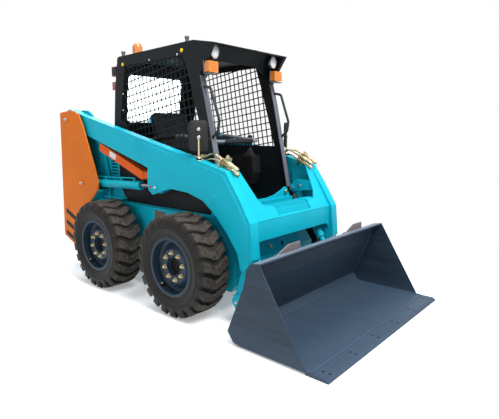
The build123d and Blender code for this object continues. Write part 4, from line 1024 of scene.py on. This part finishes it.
boots, grips, buttons, sleeves = shapes(4)
folds = []
for k in range(6):
    r, h = 0.053 - 0.0062 * k, 0.011 * k
    folds += [(r, h), (r + 0.0022, h + 0.0045), (r - 0.004, h + 0.0095)]
for sign in BOTH:
    y = sign * LEVER_Y
    base = at((LEVER_X, y, 1.145))
    boots.lathe([(0.06, -0.006), *folds, (0.014, 0.072), (0.0105, 0.082)], base, 28)
    grips.tube([(LEVER_X, y, z) for z, _ in GRIP], 0.0225, 18, lambda i: GRIP[i][1])
    for u in (-0.008, 0.008):
        button = at((LEVER_X + u, y, 1.3375))
        buttons.boss(0.005, 0.0025, 0.0036, 0.0038, button, 12)
    sleeves.sleeve([(x, sign * 0.262, z) for x, z in ARM_SLEEVE], SLEEVE_RADIUS)
sleeves.sleeve([(0.235, y, 1.29) for y in CROSS_SLEEVE], SLEEVE_RADIUS)
piece("lever_boots", boots, "boot")
piece("lever_grips", grips, "plastic")
piece("lever_buttons", buttons, "red")
piece("lap_bar_sleeves", sleeves, "boot")

# --- seat
PAD_STEPS = 34
# how far the sides draw in between the corners, as shares of the half sizes
WAIST_X, WAIST_Y = 0.035, 0.04
# across the pad, from -1 to 1: middle of a bolster, seam beside it, end of the channels
BOLSTER_V, SEAM_V, CHANNEL_END_V = 0.8, 0.62, 0.68
BOLSTER_RISE, SEAM_DEPTH, CHANNEL_DEPTH = 0.014, 0.007, 0.008
CLOTH_FRAMES = 20
CLOTH_PRESSURE = 4
CLOTH_MOST = 0.006  # no point moves further


def hump(distance, width):
    return exp(-((distance / width) ** 2))


def plan(u, v, half_x, half_y):
    """Place on a pad, x and y, of a point at shares u and v of its half sizes."""
    return half_x * u * (1 - WAIST_X * (1 - v * v)), half_y * v * (1 - WAIST_Y * (1 - u * u))


def rise(u, v, face, thick, crown, channels):
    """Height of a pad's face, 1 for the one sat on and -1 for the one below."""
    full = ((1 - abs(u) ** 5) * (1 - abs(v) ** 5)) ** 0.38
    z = 0.5 * thick * full * face
    if face > 0:
        z += crown * (1 - u * u) * (1 - v * v)
        z += BOLSTER_RISE * hump(abs(v) - BOLSTER_V, 0.16) * full
        for c in channels:
            z -= CHANNEL_DEPTH * hump(u - c, 0.035) * full * (abs(v) < CHANNEL_END_V)
        z -= SEAM_DEPTH * hump(abs(v) - SEAM_V, 0.03) * full
    return z


def pad(name, frame, half_x, half_y, thick, crown, channels):
    """A stuffed pad: crowned face, sides drawn in between its corners, sewn channels across."""
    count = PAD_STEPS
    shape, welt = shapes(2)
    grid = {}
    for face in (1, -1):
        for i in range(count + 1):
            for j in range(count + 1):
                if face < 0 and (i in (0, count) or j in (0, count)):
                    grid[face, i, j] = grid[1, i, j]
                    continue
                u, v = 2 * i / count - 1, 2 * j / count - 1
                x, y = plan(u, v, half_x, half_y)
                point = Vector((x, y, rise(u, v, face, thick, crown, channels)))
                grid[face, i, j] = shape.mesh.verts.new(frame @ point)
    for face in (1, -1):
        for i in range(count):
            for j in range(count):
                corners = ((i, j), (i + 1, j), (i + 1, j + 1), (i, j + 1))
                shape.mesh.faces.new([grid[face, a, b] for a, b in corners])
    rim = []
    for k in range(4 * count):
        edge, t = divmod(k, count)
        s = 2 * t / count
        u, v = ((-1 + s, -1), (1, -1 + s), (1 - s, 1), (-1, 1 - s))[edge]
        rim.append(frame @ Vector((*plan(u, v, half_x, half_y), 0)))
    made = piece(name, shape, "seat", sharp=60)
    settle(made)
    welt.tube([*rim, rim[0]], 0.0042, 8)
    piece(f"{name}_welt", welt, "seam", sharp=60)
    return made


def settle(obj):
    """Blows the pad up as cloth under pressure."""
    start = [v.co.copy() for v in obj.data.vertices]
    cloth = obj.modifiers.new("stuffing", "CLOTH")
    cloth.settings.use_pressure = True
    cloth.settings.uniform_pressure_force = CLOTH_PRESSURE
    cloth.settings.effector_weights.gravity = 0
    for number in range(1, CLOTH_FRAMES + 1):
        scene.frame_set(number)
    seen = obj.evaluated_get(bpy.context.evaluated_depsgraph_get())
    moved = [v.co.copy() for v in seen.data.vertices]
    obj.modifiers.remove(cloth)
    scene.frame_set(1)
    for vertex, a, b in zip(obj.data.vertices, start, moved):
        step = b - a
        if step.length > CLOTH_MOST:
            step *= CLOTH_MOST / step.length
        vertex.co = a + step


BACK_LEAN = (0.97, 0, 0.235)
cushion_frame = at((-0.325, 0, 1.018), (0.06, 0, 1), LEFT)
back_frame = at((-0.592, 0, 1.315), BACK_LEAN, LEFT)
cushion = pad("seat_cushion", cushion_frame, 0.225, 0.212, 0.07, 0.014, (-0.35, 0.05, 0.45))
pad("seat_back", back_frame, 0.225, 0.205, 0.062, 0.012, (-0.5, -0.1, 0.3))
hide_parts("seat")

pan, back, pedestal = (-0.325, 0, 0.962), (-0.64, 0, 1.318), (-0.33, 0, 0.893)
BACK_STAY = ((-0.4, 0.985), (-0.53, 0.99), (-0.6, 1.05), (-0.625, 1.16))
seat_frame = Shape()
seat_frame.prism(rounded(0.44, 0.4, 0.04, 5), 0.03, at(pan, UP, LEFT), 0.006)
seat_frame.prism(rounded(0.46, 0.4, 0.06, 5), 0.022, at(back, BACK_LEAN, LEFT), 0.006)
seat_frame.prism(rounded(0.36, 0.34, 0.02, 4), 0.066, at(pedestal, UP, LEFT), 0.004)
for y in (-0.15, 0.15):
    seat_frame.tube(curved([(x, y, z) for x, z in BACK_STAY], 5), 0.012)
piece("seat_frame", seat_frame, "plastic")

# --- bucket
# x, z along the inside corner between a side plate and the shell
INNER_CORNER = (
    (1.15, 0.5715), (1.096, 0.563), (1.0675, 0.515), (1.043, 0.407),
    (0.906, 0.09), (0.948, 0.032), (1.004, 0.024), (1.54, 0.024),
)
LIP_SLOPE = 0.148
beads, lip = shapes(2)
for sign in BOTH:
    beads.bead([(x, sign * 0.8285, z) for x, z in INNER_CORNER], 0.005, 0.007)
    beads.bead([(x, sign * 0.835, 0.015) for x in (1.5, 1.625)], 0.004, 0.006)
beads.bead([(1.5405, y, 0.024) for y in (-0.826, 0.826)], 0.005, 0.007)
for middle in (-0.45, 0.45):
    beads.bead([(1.0755, middle + v, 0.572) for v in (-0.145, 0.145)], 0.004, 0.006)
# the beads take the lighter slate, a painted highlight along the welds
piece("bucket_beads", beads, "bead", "tool", sharp=60)

# lighter band along the top of the upper lip: painted highlight of the light on its top face
lit_band = at((1.1216, 0, 0.5772), (-LIP_SLOPE, 0, 0.989), (0.989, 0, LIP_SLOPE))
lip.prism(rounded(1.646, 0.06, 0.003, 2), 0.0035, lit_band, 0.0008)
piece("bucket_lip_painted_highlight", lip, "lip", "tool")

# --- engine bay
RUNNERS = 4
INTAKE = ((-1.38, -0.2, 0.905), (-1.22, -0.2, 0.915), (-1.04, -0.2, 0.905), (-0.985, -0.16, 0.89))
cover, bolts, latch = shapes(3)
cover.prism(rounded(0.42, 0.18, 0.03, 4), 0.062, at((-1.19, 0.045, 0.88), UP, LEFT), 0.01)
cover.boss(0.028, 0.014, 0.022, 0.02, at((-1.07, 0.045, 0.94)))
cover.tube(curved(INTAKE), 0.028, 16)
for k in range(RUNNERS):
    x = -1.36 + 0.11 * k
    cover.tube([(x, 0.0, 0.893), (x, -0.2, 0.903)], 0.017, 12)
    for y in (-0.035, 0.125):
        bolts.bolt(at((x, y, 0.936)), 0.012, 0.006)
piece("engine_cover", cover, "iron")
piece("engine_bolts", bolts, "bright")

# latch of the rear door: plate and handle
latch.prism(rounded(0.09, 0.046, 0.01, 4), 0.004, at((-1.6155, 0.35, 0.96), REARWARD), 0.001)
latch.prism(rounded(0.062, 0.022, 0.006, 3), 0.01, at((-1.619, 0.35, 0.96), REARWARD), 0.003)
piece("door_latch", latch, "plastic", "rear_door")

# --- camera
CAMERA = (2.827, -2.858, 1.366)
AZIMUTH = radians(40.824)
PITCH = radians(9.67)
camera = add("camera", bpy.data.cameras.new("camera"))
camera.location = CAMERA
camera.rotation_euler = (pi / 2 - PITCH, 0.0, AZIMUTH)
camera.data.lens = 32.8
camera.data.sensor_width = 36.0
camera.data.clip_end = 200.0
scene.camera = camera
scene.view_settings.view_transform = "Standard"

# --- light and floor
# name, place, target, diameter, power
LAMPS = (
    ("key", (4.2, -0.6, 6.2), (0.4, 0.0, 0.8), 3.5, 700),
    ("fill", (0.5, -6.5, 2.6), (0.0, 0.0, 0.8), 4.5, 85),
    ("top", (-1.5, 0.0, 6.5), (0.0, 0.0, 0.5), 4.0, 330),
    ("back", (-6.0, 3.5, 3.5), (0.0, 0.0, 0.8), 4.0, 130),
)
AMBIENT, AMBIENT_STRENGTH = (0.88, 0.93, 1.0), 0.42
FLOOR_RADIUS = 60.0
FLOOR_Z = -0.001
FLOOR_HAZE = 0.3
WHITE_FROM, WHITE_TO = 1.9, 3.4  # distance over which the floor turns white

for name, place, target, diameter, power in LAMPS:
    data = bpy.data.lights.new(name, "AREA")
    data.shape = "DISK"
    data.size = diameter
    data.energy = power
    lamp = add(name, data)
    lamp.location = place
    lamp.rotation_euler = (Vector(target) - Vector(place)).to_track_quat("-Z", "Y").to_euler()


def seen_share(tree):
    """1 for rays that see the backdrop: from the camera, off metal or through glass."""
    ray = tree.nodes.new("ShaderNodeLightPath")
    share = ray.outputs["Is Camera Ray"]
    for name in ("Is Glossy Ray", "Is Transmission Ray"):
        either = tree.nodes.new("ShaderNodeMath")
        either.operation = "MAXIMUM"
        tree.links.new(share, either.inputs[0])
        tree.links.new(ray.outputs[name], either.inputs[1])
        share = either.outputs[0]
    return share


def glow(tree, kind, colour, strength):
    made = tree.nodes.new(kind)
    made.inputs["Color"].default_value = (*colour, 1.0)
    made.inputs["Strength"].default_value = strength
    return made.outputs[0]


def blend(tree, kind, *sources):
    """Adds shaders a and b, or mixes them by the share that comes before them."""
    made = tree.nodes.new(kind)
    for socket, source in zip(made.inputs, sources):
        tree.links.new(source, socket)
    return made.outputs[0]


world = bpy.data.worlds.new("studio")
scene.world = world
world.use_nodes = True
tree = world.node_tree
tree.nodes.clear()
out = tree.nodes.new("ShaderNodeOutputWorld")
ambient = glow(tree, "ShaderNodeBackground", AMBIENT, AMBIENT_STRENGTH)
white = glow(tree, "ShaderNodeBackground", WHITE, 1.0)
sky = blend(tree, "ShaderNodeMixShader", seen_share(tree), ambient, white)
tree.links.new(sky, out.inputs["Surface"])

floor_mesh = bpy.data.meshes.new("floor")
disc = bmesh.new()
bmesh.ops.create_circle(disc, cap_ends=True, radius=FLOOR_RADIUS, segments=64)
disc.to_mesh(floor_mesh)
disc.free()
floor = add("floor", floor_mesh)
floor.location.z = FLOOR_Z
# pale floor: shaded by the object close by, and white as the backdrop further out
g = Graph("floor_white")
g.set(Base_Color=g.mix(g.noise(0.6), (0.78, 0.78, 0.78), (0.82, 0.82, 0.82)), Roughness=0.9)
distance = g.node("ShaderNodeVectorMath", operation="LENGTH")
g.link(g.where, distance.inputs[0])
away = g.remap(distance.outputs["Value"], WHITE_FROM, WHITE_TO)
lit = g.shader.outputs["BSDF"]
haze = glow(g.tree, "ShaderNodeEmission", WHITE, FLOOR_HAZE)
white = glow(g.tree, "ShaderNodeEmission", WHITE, 1.0)
near = blend(g.tree, "ShaderNodeAddShader", lit, haze)
backdrop = blend(g.tree, "ShaderNodeMixShader", away, near, white)
seen = blend(g.tree, "ShaderNodeMixShader", seen_share(g.tree), lit, backdrop)
g.link(seen, g.out.inputs["Surface"])
floor.data.materials.append(g.material)
